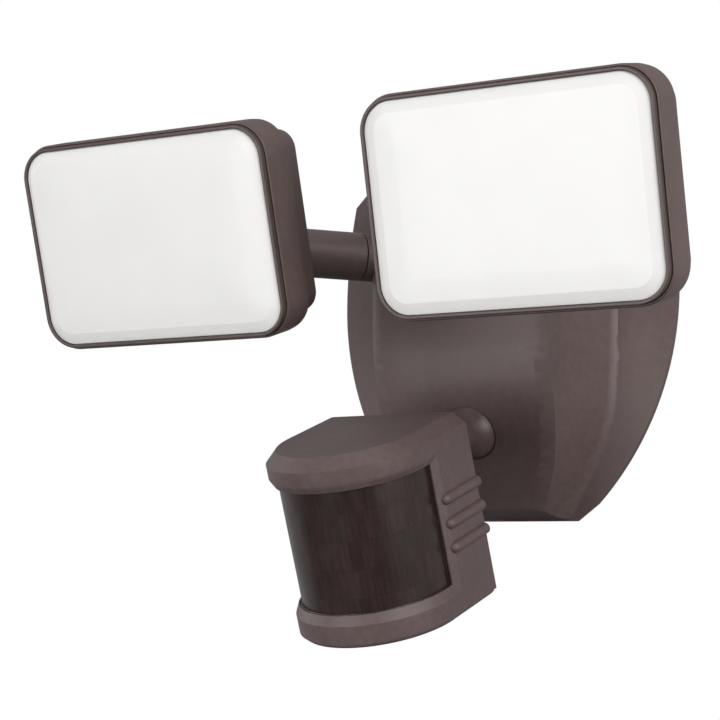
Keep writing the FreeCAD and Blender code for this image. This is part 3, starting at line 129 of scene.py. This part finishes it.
def mouldedRubber(name, base, dusty, roughness, pore=0.7, depth=0.06):
    # moulded rubber or closed-cell foam: very dull, with pores that break up the light and dust in them
    material, places = startMaterial(name)
    pores = addNode(material, "TexVoronoi", {"Scale": 1 / (pore * mm)}, {"Vector": (places, "Object")})
    dust = addNode(material, "TexNoise", {"Scale": 1 / (9 * mm), "Detail": 3.0}, {"Vector": (places, "Object")})
    tone = addNode(material, "ValToRGB", {}, {"Fac": (dust, "Fac")}, [(0.35, base), (0.75, dusty)])
    gloss = addNode(material, "MapRange", {"From Min": 0.3, "From Max": 0.7, "To Min": roughness - 0.06,
                                           "To Max": roughness + 0.05}, {"Value": (dust, "Fac")})
    relief = addNode(material, "Bump", {"Strength": 0.6, "Distance": depth * mm}, {"Height": (pores, "Distance")})
    shader = addNode(material, "BsdfPrincipled", {"IOR": 1.48},
                     {"Base Color": (tone, "Color"), "Roughness": (gloss, "Result"), "Normal": (relief, "Normal")})
    addNode(material, "OutputMaterial", {}, {"Surface": (shader, "BSDF")})
    return material


def platedMetal(name, base, paler, roughness, line=1.0, stretch=(1, 1, 12), crystal=40.0, mottle="#ffffff"):
    # plated or rolled metal: fine draw lines that stretch the highlight along them, and crystals a few
    # millimetres wide where the sheet was dipped in zinc
    material, places = startMaterial(name)
    drawn = addNode(material, "Mapping", {"Scale": stretch}, {"Vector": (places, "Object")})
    lines = addNode(material, "TexNoise", {"Scale": 1 / (line * mm), "Detail": 3.0, "Roughness": 0.6},
                    {"Vector": (drawn, "Vector")})
    cells = addNode(material, "TexVoronoi", {"Scale": 1 / (crystal * mm)}, {"Vector": (places, "Object")})
    tone = addNode(material, "ValToRGB", {}, {"Fac": (lines, "Fac")}, [(0.3, base), (0.7, paler)])
    flakes = addNode(material, "ValToRGB", {}, {"Fac": (cells, "Color")}, [(0.1, mottle), (0.9, "#ffffff")])
    colour = addNode(material, "Mix", {"data_type": "RGBA", "blend_type": "MULTIPLY", 0: 0.8},
                     {6: (tone, "Color"), 7: (flakes, "Color")})
    gloss = addNode(material, "MapRange", {"From Min": 0.3, "From Max": 0.7, "To Min": roughness - 0.07,
                                           "To Max": roughness + 0.08}, {"Value": (lines, "Fac")})
    relief = addNode(material, "Bump", {"Strength": 0.5, "Distance": 0.006 * mm}, {"Height": (lines, "Fac")})
    shader = addNode(material, "BsdfPrincipled", {"Metallic": 1.0},
                     {"Base Color": (colour, 2), "Roughness": (gloss, "Result"), "Normal": (relief, "Normal")})
    addNode(material, "OutputMaterial", {}, {"Surface": (shader, "BSDF")})
    return material


def circuitBoard(name, mask, track, pad):
    # glass-epoxy board: glossy solder mask with copper tracks showing through it as paler lines, and tinned
    # pads on a 2.54 mm grid
    material, places = startMaterial(name)
    lanes = addNode(material, "TexVoronoi", {"Scale": 1 / (5.6 * mm), "distance": "CHEBYCHEV",
                                             "feature": "DISTANCE_TO_EDGE"}, {"Vector": (places, "Object")})
    dots = addNode(material, "TexVoronoi", {"Scale": 1 / (2.54 * mm), "Randomness": 0.0},
                   {"Vector": (places, "Object")})
    patches = addNode(material, "TexNoise", {"Scale": 1 / (8 * mm), "Detail": 0.0}, {"Vector": (places, "Object")})
    tracks = addNode(material, "ValToRGB", {}, {"Fac": (lanes, "Distance")}, [(0.05, track), (0.09, mask)])
    holes = addNode(material, "Math", {"operation": "LESS_THAN", 1: 0.17}, {0: (dots, "Distance")})
    fitted = addNode(material, "Math", {"operation": "GREATER_THAN", 1: 0.54}, {0: (patches, "Fac")})
    pads = addNode(material, "Math", {"operation": "MULTIPLY"}, {0: (holes, "Value"), 1: (fitted, "Value")})
    colour = addNode(material, "Mix", {"data_type": "RGBA", 7: toLinear(pad)},
                     {0: (pads, "Value"), 6: (tracks, "Color")})
    relief = addNode(material, "Bump", {"Strength": 0.3, "Distance": 0.05 * mm}, {"Height": (lanes, "Distance")})
    shader = addNode(material, "BsdfPrincipled", {"IOR": 1.55, "Roughness": 0.33},
                     {"Base Color": (colour, 2), "Normal": (relief, "Normal")})
    addNode(material, "OutputMaterial", {}, {"Surface": (shader, "BSDF")})
    return material


def opalAcrylic(name, base, shade):
    # opal acrylic diffuser, moulded: milky white right through, with a satin face and a faint haze
    material, places = startMaterial(name)
    haze = addNode(material, "TexNoise", {"Scale": 1 / (26 * mm), "Detail": 2.0}, {"Vector": (places, "Object")})
    frost = addNode(material, "TexNoise", {"Scale": 1 / (0.8 * mm), "Detail": 2.0}, {"Vector": (places, "Object")})
    tone = addNode(material, "ValToRGB", {}, {"Fac": (haze, "Fac")}, [(0.3, shade), (0.7, base)])
    gloss = addNode(material, "MapRange", {"From Min": 0.3, "From Max": 0.7, "To Min": 0.30, "To Max": 0.38},
                    {"Value": (frost, "Fac")})
    relief = addNode(material, "Bump", {"Strength": 0.4, "Distance": 0.006 * mm}, {"Height": (frost, "Fac")})
    shader = addNode(material, "BsdfPrincipled", {"IOR": 1.49, "Subsurface Weight": 0.25, "Subsurface Scale": 1.0,
                                                  "Subsurface Radius": (3 * mm, 3 * mm, 3 * mm)},
                     {"Base Color": (tone, "Color"), "Roughness": (gloss, "Result"), "Normal": (relief, "Normal")})
    addNode(material, "OutputMaterial", {}, {"Surface": (shader, "BSDF")})
    return material


def infraredWindow(name, base, shade, cellWide=4.2, cellTall=10.5):
    # dark polyethylene window that only infrared passes, moulded thin: satin outside, with the lens cells and
    # the grooves inside them showing as faint upright strips; the real grooves are 0.3 mm apart, drawn coarser,
    # and its map runs in millimetres round and up the window
    material, places = startMaterial(name)
    spread = addNode(material, "UVMap", {"uv_map": "windowMap"})
    cells = addNode(material, "TexBrick", {"offset": 0.5, "Scale": 1.0, "Color1": toLinear("#b2b2b2"),
                                           "Color2": toLinear("#e0e0e0"), "Mortar": toLinear("#8c8c8c"),
                                           "Mortar Size": 0.12, "Mortar Smooth": 1.0, "Bias": 0.0,
                                           "Brick Width": cellWide, "Row Height": cellTall},
                    {"Vector": (spread, "UV")})
    upright = addNode(material, "Mapping", {"Scale": (1.0, 0.06, 1.0)}, {"Vector": (spread, "UV")})
    grooves = addNode(material, "TexNoise", {"Scale": 1.1, "Detail": 3.0, "Roughness": 0.65},
                      {"Vector": (upright, "Vector")})
    haze = addNode(material, "TexNoise", {"Scale": 1 / (7 * mm), "Detail": 3.0}, {"Vector": (places, "Object")})
    streaks = addNode(material, "ValToRGB", {}, {"Fac": (grooves, "Fac")}, [(0.3, "#a8a8a8"), (0.7, "#ffffff")])
    depth = addNode(material, "Mix", {"data_type": "RGBA", "blend_type": "MULTIPLY", 0: 0.9},
                    {6: (cells, "Color"), 7: (streaks, "Color")})
    tone = addNode(material, "ValToRGB", {}, {"Fac": (depth, 2)}, [(0.1, shade), (0.75, base)])
    gloss = addNode(material, "MapRange", {"From Min": 0.3, "From Max": 0.7, "To Min": 0.25, "To Max": 0.34},
                    {"Value": (haze, "Fac")})
    relief = addNode(material, "Bump", {"Strength": 0.35, "Distance": 0.02 * mm}, {"Height": (grooves, "Fac")})
    shader = addNode(material, "BsdfPrincipled", {"IOR": 1.51},
                     {"Base Color": (tone, "Color"), "Roughness": (gloss, "Result"), "Normal": (relief, "Normal")})
    addNode(material, "OutputMaterial", {}, {"Surface": (shader, "BSDF")})
    return material


def sheetSteelStack(name, base, dark):
    # a transformer's stack of varnished steel sheets 0.5 mm thick, drawn as layers across its depth
    material, places = startMaterial(name)
    layers = addNode(material, "TexWave", {"Scale": 1 / (20 * 0.5 * mm), "Distortion": 0.4,
                                           "bands_direction": "Y"}, {"Vector": (places, "Object")})
    varnish = addNode(material, "TexNoise", {"Scale": 1 / (3 * mm), "Detail": 4.0}, {"Vector": (places, "Object")})
    tone = addNode(material, "ValToRGB", {}, {"Fac": (layers, "Fac")}, [(0.2, dark), (0.6, base)])
    stain = addNode(material, "ValToRGB", {}, {"Fac": (varnish, "Fac")}, [(0.4, "#d9cfc6"), (0.65, "#ffffff")])
    colour = addNode(material, "Mix", {"data_type": "RGBA", "blend_type": "MULTIPLY", 0: 0.7},
                     {6: (tone, "Color"), 7: (stain, "Color")})
    relief = addNode(material, "Bump", {"Strength": 0.6, "Distance": 0.08 * mm}, {"Height": (layers, "Fac")})
    shader = addNode(material, "BsdfPrincipled", {"Metallic": 0.6, "Roughness": 0.5},
                     {"Base Color": (colour, 2), "Normal": (relief, "Normal")})
    addNode(material, "OutputMaterial", {}, {"Surface": (shader, "BSDF")})
    return material


def clearResin(name, base, paler, roughness, blob=2.0):
    # cast resin, shrink sleeve or silicone: smooth and glossy with a slightly cloudy depth
    material, places = startMaterial(name)
    cloud = addNode(material, "TexNoise", {"Scale": 1 / (blob * mm), "Detail": 2.0}, {"Vector": (places, "Object")})
    tone = addNode(material, "ValToRGB", {}, {"Fac": (cloud, "Fac")}, [(0.35, base), (0.7, paler)])
    relief = addNode(material, "Bump", {"Strength": 0.3, "Distance": 0.02 * mm}, {"Height": (cloud, "Fac")})
    shader = addNode(material, "BsdfPrincipled", {"IOR": 1.5, "Roughness": roughness},
                     {"Base Color": (tone, "Color"), "Normal": (relief, "Normal")})
    addNode(material, "OutputMaterial", {}, {"Surface": (shader, "BSDF")})
    return material


bronze = "#665553"  # the brown of the light's mouldings in even light
finishes = {
    "bronze_cover": mouldedPlastic("bronzeAbsCover", bronze, 0.5),
    "bronze_arm": mouldedPlastic("bronzeAbsArm", bronze, 0.46, grain=0.8),
    "bronze_head": mouldedPlastic("bronzeAbsHead", bronze, 0.5),
    # the bezel's brown is darker than the other mouldings: painted shade for its front face, which faces the camera
    # and shows dark
    "bronze_bezel": mouldedPlastic("bronzeAbsBezelPaintedShade", "#524441", 0.42, grain=0.8),
    "bronze_ring": mouldedPlastic("bronzeAbsRing", bronze, 0.48),
    "bronze_sensor": mouldedPlastic("bronzeAbsSensor", "#625150", 0.5, grain=0.8),
    "ball_plastic": mouldedPlastic("bronzeAcetalBall", "#5f4e4c", 0.38, grain=0.7, depth=0.01, ior=1.48),
    "plug_plastic": mouldedPlastic("bronzeAbsPlug", bronze, 0.5),
    "control_plastic": mouldedPlastic("blackAcetalControl", "#2b2828", 0.42, grain=0.6, ior=1.48),
    "relay_case": mouldedPlastic("blackPolyesterCase", "#232323", 0.5, grain=0.6),
    "terminal_plastic": mouldedPlastic("greenPolyamideTerminal", "#2e6b45", 0.45, grain=0.6),
    "nut_plastic": mouldedPlastic("naturalNylonNut", "#dcdad0", 0.45, grain=0.7),
    "cup_plastic": mouldedPlastic("naturalAcetalCup", "#e3e1da", 0.35, grain=0.7, ior=1.48),
    "opal_lens": opalAcrylic("opalAcrylicLens", "#f4f3f1", "#f1f0ee"),
    "dark_window": infraredWindow("infraredPolyethyleneWindow", "#3b2a28", "#170f0e"),
    "gasket_foam": mouldedRubber("closedCellFoam", "#1c1b1b", "#3a3938", 0.85, pore=1.0, depth=0.12),
    "seal_rubber": mouldedRubber("mouldedRubberSeal", "#352c2b", "#443a38", 0.6),
    "zinc_steel": platedMetal("galvanisedSteelSheet", "#b4b8bb", "#d2d5d8", 0.36, crystal=5.0, mottle="#c9cccf"),
    "screw_steel": platedMetal("zincPlatedSteelScrew", "#b9bbbd", "#dcdde0", 0.3, line=0.5, stretch=(1, 1, 1)),
    "ground_brass": platedMetal("greenPassivatedScrew", "#2f7a44", "#4ba063", 0.35, line=0.5),
    "heat_aluminium": platedMetal("rolledAluminiumPlate", "#c3c6c9", "#e0e2e4", 0.34, stretch=(14, 1, 1)),
    "detector_can": platedMetal("nickelPlatedCan", "#b3aea4", "#d8d3c8", 0.22, line=0.4),
    "circuit_board": circuitBoard("greenEpoxyBoard", "#1d5a33", "#2f7547", "#c9cccb"),
    "white_board": circuitBoard("whiteLampBoard", "#ecebe6", "#e0ded7", "#c9a45a"),
    "transformer_core": sheetSteelStack("varnishedSteelStack", "#5d5a57", "#2e2c2a"),
    "capacitor_sleeve": clearResin("polyesterShrinkSleeve", "#1c2340", "#2a3560", 0.25),
    "led_phosphor": clearResin("phosphorSilicone", "#e3c23c", "#f0d75e", 0.3, blob=0.8),
    "cell_epoxy": clearResin("castEpoxyCell", "#9a5a3a", "#c98b5e", 0.12, blob=0.8),
}
print("finishes made:", len(finishes))


def meshFrom(name, loops, joinEnds=True, sharpAngle=30.0):
    # skins a row of loops, given in mm with the same number of points, into a closed mesh; a row that does not
    # join its ends is capped at both
    count = len(loops[0])
    points = [[c * mm for c in point] for loop in loops for point in loop]
    rows = len(loops) if joinEnds else len(loops) - 1
    faces = []
    for row in range(rows):
        here, there = row * count, (row + 1) % len(loops) * count
        faces += [(here + k, here + (k + 1) % count, there + (k + 1) % count, there + k) for k in range(count)]
    if not joinEnds:
        faces += [tuple(range(count)), tuple(reversed(range(len(points) - count, len(points))))]
    mesh = bpy.data.meshes.new(name)
    mesh.from_pydata(points, [], faces)
    shape = bmesh.new()
    shape.from_mesh(mesh)
    bmesh.ops.recalc_face_normals(shape, faces=shape.faces)
    shape.to_mesh(mesh)
    shape.free()
    mesh.shade_smooth()
    mesh.set_sharp_from_angle(angle=math.radians(sharpAngle))
    return mesh


def roundedProfile(corners, closed=True, steps=4, sideShare=0.48):
    # corners are (inset, out, radius); each one with a radius becomes a small curve, which takes up no more than
    # sideShare of either side
    points = []
    for index, (inset, out, radius) in enumerate(corners):
        here = Vector((inset, out))
        if radius == 0 or (not closed and index in (0, len(corners) - 1)):
            points.append(here)
            continue
        before = Vector(corners[index - 1][:2]) - here
        after = Vector(corners[(index + 1) % len(corners)][:2]) - here
        reach = radius * math.tan((math.pi - before.angle(after)) / 2)
        reach = min(reach, sideShare * before.length, sideShare * after.length)
        start, end = here + before.normalized() * reach, here + after.normalized() * reach
        for step in range(steps + 1):
            t = step / steps
            points.append(start * (1 - t) ** 2 + here * 2 * t * (1 - t) + end * t ** 2)
    return points


def placePiece(name, mesh, body, slotName, replaced):
    # puts a mesh in the scene on its body, with its finish and the nodes it stands in for
    mesh.materials.clear()
    mesh.materials.append(finishes[slotName])
    piece = bpy.data.objects.new(name, mesh)
    bpy.context.scene.collection.objects.link(piece)
    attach(piece, body)
    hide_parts(*replaced)
    return piece


# the lens and its bezel, in mm: out is the distance out from the head's pivot, as in the part's own drawing
headSizes = {
    "lensWide": 105.8, "lensTall": 74.0, "lensCorner": 10.6, "lensRise": 7.0, "lensOut": 46.7, "dome": 1.6,
    "lensThick": 2.4, "flange": 1.5, "borderInset": 4.2, "borderRise": 0.9, "borderEase": 1.2,
    "bezelWide": 1.4, "bezelDepth": 2.9, "bezelProud": 0.6, "bezelGap": 0.15, "bezelEase": 0.4,
    "pitch": {"left": 17.25, "right": 13.7}, "cornerSteps": 16, "leastBend": 1.5,
    "flangeShort": 0.5, "flangeEase": 0.3, "innerEase": 0.2, "footEase": 0.1, "hollowSink": 1.0,
    "rimSink": 0.2, "rimEase": 0.5, "domeInset": 12.0, "domeSink": 0.25, "domeEase": 20.0, "topInset": 24.0,
}


def lensLoop(inset, out):
    # the lens outline drawn in by an inset, with the same number of points whatever the inset
    sizes = headSizes
    wide, tall = sizes["lensWide"] / 2 - inset, sizes["lensTall"] / 2 - inset
    bend = max(sizes["leastBend"], sizes["lensCorner"] - inset)
    points = []
    for quarter, (signX, signZ) in enumerate(((1, 1), (-1, 1), (-1, -1), (1, -1))):
        for step in range(sizes["cornerSteps"] + 1):
            angle = math.radians(90 * (quarter + step / sizes["cornerSteps"]))
            points.append((signX * (wide - bend) + bend * math.cos(angle), -out,
                           sizes["lensRise"] + signZ * (tall - bend) + bend * math.sin(angle)))
    return points


def lampFront(side):
    # a head's lens with its slanted border and low dome, and the bezel round it
    sizes = headSizes
    place = (Matrix.Translation(jointAt[side + "_head_tilt"])
             @ Matrix.Rotation(math.radians(sizes["pitch"][side]), 4, "X"))
    lens = sizes["lensOut"]
    front = lens + sizes["bezelProud"]
    back = front - sizes["bezelDepth"]
    top = lens + sizes["dome"]
    flange = sizes["bezelWide"] - sizes["flangeShort"]
    foot, bend = sizes["footEase"], sizes["flangeEase"]
    profile = roundedProfile([
        (sizes["lensThick"], lens - sizes["hollowSink"], 0),
        (sizes["lensThick"], back - sizes["flange"], sizes["innerEase"]),
        (-flange, back - sizes["flange"], bend), (-flange, back, bend), (0, back, foot),
        (0, lens - sizes["rimSink"], sizes["rimEase"]),
        (sizes["borderInset"], lens + sizes["borderRise"], sizes["borderEase"]),
        (sizes["domeInset"], top - sizes["domeSink"], sizes["domeEase"]), (sizes["topInset"], top, 0)],
        closed=False)
    mesh = meshFrom(side + "LensMesh", [lensLoop(inset, out) for inset, out in profile], joinEnds=False)
    mesh.transform(place)
    placePiece(side + "_lens_moulded", mesh, nodes[side + "_lens"]["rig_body"], "opal_lens", (side + "_lens",))
    ease = sizes["bezelEase"]
    profile = roundedProfile([(-sizes["bezelGap"], back, foot), (-sizes["bezelGap"], front, ease),
                              (-sizes["bezelWide"], front, ease), (-sizes["bezelWide"], back, foot)])
    mesh = meshFrom(side + "BezelMesh", [lensLoop(inset, out) for inset, out in profile])
    mesh.transform(place)
    placePiece(side + "_bezel_moulded", mesh, nodes[side + "_head_bezel"]["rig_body"], "bronze_bezel",
               (side + "_head_bezel",))


for side in ("left", "right"):
    lampFront(side)
print("lenses and bezels made")

# how wide the eased edge of each node's copy is, in mm; 0 leaves its edges sharp and only smooths its curves
easing = {
    "housing_cover": 0.8, "screw_plug": 0.3, "left_arm": 0.6, "right_arm": 0.6,
    "left_head_housing": 0.5, "right_head_housing": 0.5, "left_head_pan": 0.6, "right_head_pan": 0.6,
    "left_socket_ring": 0.3, "right_socket_ring": 0.3, "left_arm_ball": 0.3, "right_arm_ball": 0.3,
    "left_ball_cup": 0.2, "right_ball_cup": 0.2, "sensor_cup": 0.2, "sensor_neck": 0.4,
    "sensor_housing": 0.45, "sensor_base": 0.3, "sensor_window": 0.3, "range_dial": 0.25, "time_switch": 0.3,
    "wall_bracket": 0.2, "ground_screw": 0.2, "cover_screw": 0.2, "left_arm_seal": 0.1, "right_arm_seal": 0.1,
}
# angles in degrees, the distance under which points are joined in mm
edgeSizes = {"sharpAngle": 32.0, "flatAngle": 0.3, "join": 0.002, "segments": 3}


def easedCopy(nodeName):
    # a copy of a node whose edges are eased as a mould or a cutter leaves them
    source = nodes[nodeName]
    mesh = source.data.copy()
    mesh.name = nodeName + "Mesh"
    shape = bmesh.new()
    shape.from_mesh(mesh)
    bmesh.ops.remove_doubles(shape, verts=shape.verts, dist=edgeSizes["join"] * mm)
    bmesh.ops.dissolve_limit(shape, angle_limit=math.radians(edgeSizes["flatAngle"]), verts=shape.verts,
                             edges=shape.edges)
    shape.to_mesh(mesh)
    shape.free()
    mesh.shade_smooth()
    angle = math.radians(edgeSizes["sharpAngle"])
    mesh.set_sharp_from_angle(angle=angle)
    piece = placePiece(nodeName + "_eased", mesh, source["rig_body"], slotOf[nodeName], (nodeName,))
    width = easing.get(nodeName, 0)
    if width > 0:
        bevel = piece.modifiers.new("easedEdges", "BEVEL")
        bevel.width, bevel.segments = width * mm, edgeSizes["segments"]
        bevel.limit_method, bevel.angle_limit = "ANGLE", angle
        bevel.use_clamp_overlap = True
        bevel.miter_outer = "MITER_ARC"
        weights = piece.modifiers.new("flatFaces", "WEIGHTED_NORMAL")
        weights.keep_sharp = True


easedNames = [nodeName for nodeName in sorted(nodes) if not nodeName.endswith(("_lens", "_head_bezel"))]
for nodeName in sorted(nodes):
    nodes[nodeName].data.materials.clear()
    nodes[nodeName].data.materials.append(finishes[slotOf[nodeName]])
    if nodeName in easedNames:
        easedCopy(nodeName)
print("eased copies made:", len(easedNames))

# the window's map: millimetres round its D-shaped wall and up it, for its upright cells
windowSizes = {"pitch": 20.3, "pan": -4.4, "radius": 28.6, "arcOut": 83.7}


def mapWindow(piece):
    sizes = windowSizes
    place = (Matrix.Translation(jointAt["sensor_tilt"]) @ Matrix.Rotation(math.radians(sizes["pan"]), 4, "Z")
             @ Matrix.Rotation(math.radians(sizes["pitch"]), 4, "X"))
    toSensor = place.inverted() @ piece.matrix_world
    layer = piece.data.uv_layers.new(name="windowMap")
    for corner in piece.data.loops:
        x, y, z = toSensor @ piece.data.vertices[corner.vertex_index].co / mm
        past = -y - sizes["arcOut"]
        if past > 0:
            along = math.atan2(x, past) * sizes["radius"]
        else:
            along = math.copysign(math.pi / 2 * sizes["radius"] - past, x)
        layer.data[corner.index].uv = (along, z)


mapWindow(bpy.data.objects["sensor_window_eased"])
print("window mapped")

# metres, but the fibre in mm; evenShare is how much of the floor shows as the even colour
stageSizes = {"floorHeight": -1.0, "floorHalf": 2.2, "fibre": 4.0, "bounceColour": "#7a7a7a",
              "evenColour": "#fcfcfc", "evenShare": 0.95}
lampPlans = {  # place in metres, width in metres, power in watts
    "keyRight": ((0.95, -0.95, 0.45), 0.7, 6.5),
    "lowRight": ((1.2, -0.6, 0.0), 0.5, 3.0),
    "sideRight": ((1.3, -0.35, 0.25), 0.8, 3.5),
    "fillLeft": ((-0.4, -1.3, -0.2), 0.6, 6.3),
    "sideLeft": ((-1.35, -0.35, 0.2), 0.8, 4.0),
    "topSoft": ((0.1, -0.35, 1.35), 0.9, 1.5),
}
lampTarget = (0, -0.07, -0.01)
worldLight = {"ambient": 0.37, "mirrored": 0.42, "camera": 1.0}
cameraPlan = {"place": (0.369075, -0.733044, -0.098494), "right": (0.8582, 0.5132, 0.0134),
              "up": (0.0457, -0.1024, 0.9937), "lens": 100.0, "sensor": 36.0}

floorMesh = bpy.data.meshes.new("floor")
half, height = stageSizes["floorHalf"], stageSizes["floorHeight"]
floorMesh.from_pydata([(-half, -half, height), (half, -half, height), (half, half, height), (-half, half, height)],
                      [], [(0, 1, 2, 3)])
floor = bpy.data.objects.new("floor", floorMesh)
bpy.context.scene.collection.objects.link(floor)
# plain card, matt with a faint fibre in it: to the camera it is mostly an even white with soft shadows on it,
# and it throws back less light than it shows
paper, paperPlaces = startMaterial("whiteCardboardFloor")
fibre = addNode(paper, "TexNoise", {"Scale": 1 / (stageSizes["fibre"] * mm)}, {"Vector": (paperPlaces, "Object")})
paperTone = addNode(paper, "ValToRGB", {}, {"Fac": (fibre, "Fac")}, [(0.3, "#f2f2f2"), (0.7, "#f6f6f6")])
paperRay = addNode(paper, "LightPath")
paperColour = addNode(paper, "Mix", {"data_type": "RGBA", 6: toLinear(stageSizes["bounceColour"])},
                      {0: (paperRay, "Is Camera Ray"), 7: (paperTone, "Color")})
paperFace = addNode(paper, "BsdfPrincipled", {"Roughness": 0.9}, {"Base Color": (paperColour, 2)})
paperGlow = addNode(paper, "Emission", {"Color": toLinear(stageSizes["evenColour"]), "Strength": 1.0})
paperShare = addNode(paper, "Math", {"operation": "MULTIPLY", 1: stageSizes["evenShare"]},
                     {0: (paperRay, "Is Camera Ray")})
paperSurface = addNode(paper, "MixShader", {}, {"Fac": (paperShare, "Value"), 1: (paperFace, "BSDF"),
                                                2: (paperGlow, "Emission")})
addNode(paper, "OutputMaterial", {}, {"Surface": (paperSurface, "Shader")})
floorMesh.materials.append(paper)

target = Vector(lampTarget)
for name, (place, width, power) in lampPlans.items():
    lamp = bpy.data.lights.new(name, "AREA")
    lamp.size, lamp.energy = width, power
    holder = bpy.data.objects.new(name, lamp)
    holder.location = place
    holder.rotation_euler = (target - Vector(place)).to_track_quat("-Z", "Y").to_euler()
    bpy.context.scene.collection.objects.link(holder)

# the world lights softly, but shows white to the camera and its own level in reflections
world = bpy.data.worlds.new("studio")
bpy.context.scene.world = world
world.use_nodes = True
world.node_tree.nodes.clear()
ray = addNode(world, "LightPath")
mirrored = addNode(world, "Math", {"operation": "MAXIMUM"},
                   {0: (ray, "Is Glossy Ray"), 1: (ray, "Is Transmission Ray")})
lit = addNode(world, "MapRange", {"To Min": worldLight["ambient"], "To Max": worldLight["mirrored"]},
              {"Value": (mirrored, "Value")})
shown = addNode(world, "Mix", {3: worldLight["camera"]}, {0: (ray, "Is Camera Ray"), 2: (lit, "Result")})
sky = addNode(world, "Background", {"Color": (1, 1, 1, 1)}, {"Strength": (shown, 0)})
addNode(world, "OutputWorld", {}, {"Surface": (sky, "Background")})

lens = bpy.data.cameras.new("photoCamera")
lens.lens, lens.sensor_width = cameraPlan["lens"], cameraPlan["sensor"]
camera = bpy.data.objects.new("photoCamera", lens)
right, up = Vector(cameraPlan["right"]), Vector(cameraPlan["up"])
back = right.cross(up)
camera.matrix_world = Matrix.Translation(cameraPlan["place"]) @ Matrix((right, up, back)).transposed().to_4x4()
bpy.context.scene.collection.objects.link(camera)
bpy.context.scene.camera = camera
bpy.context.scene.view_settings.view_transform = "Standard"
print("stage, lamps and camera set")
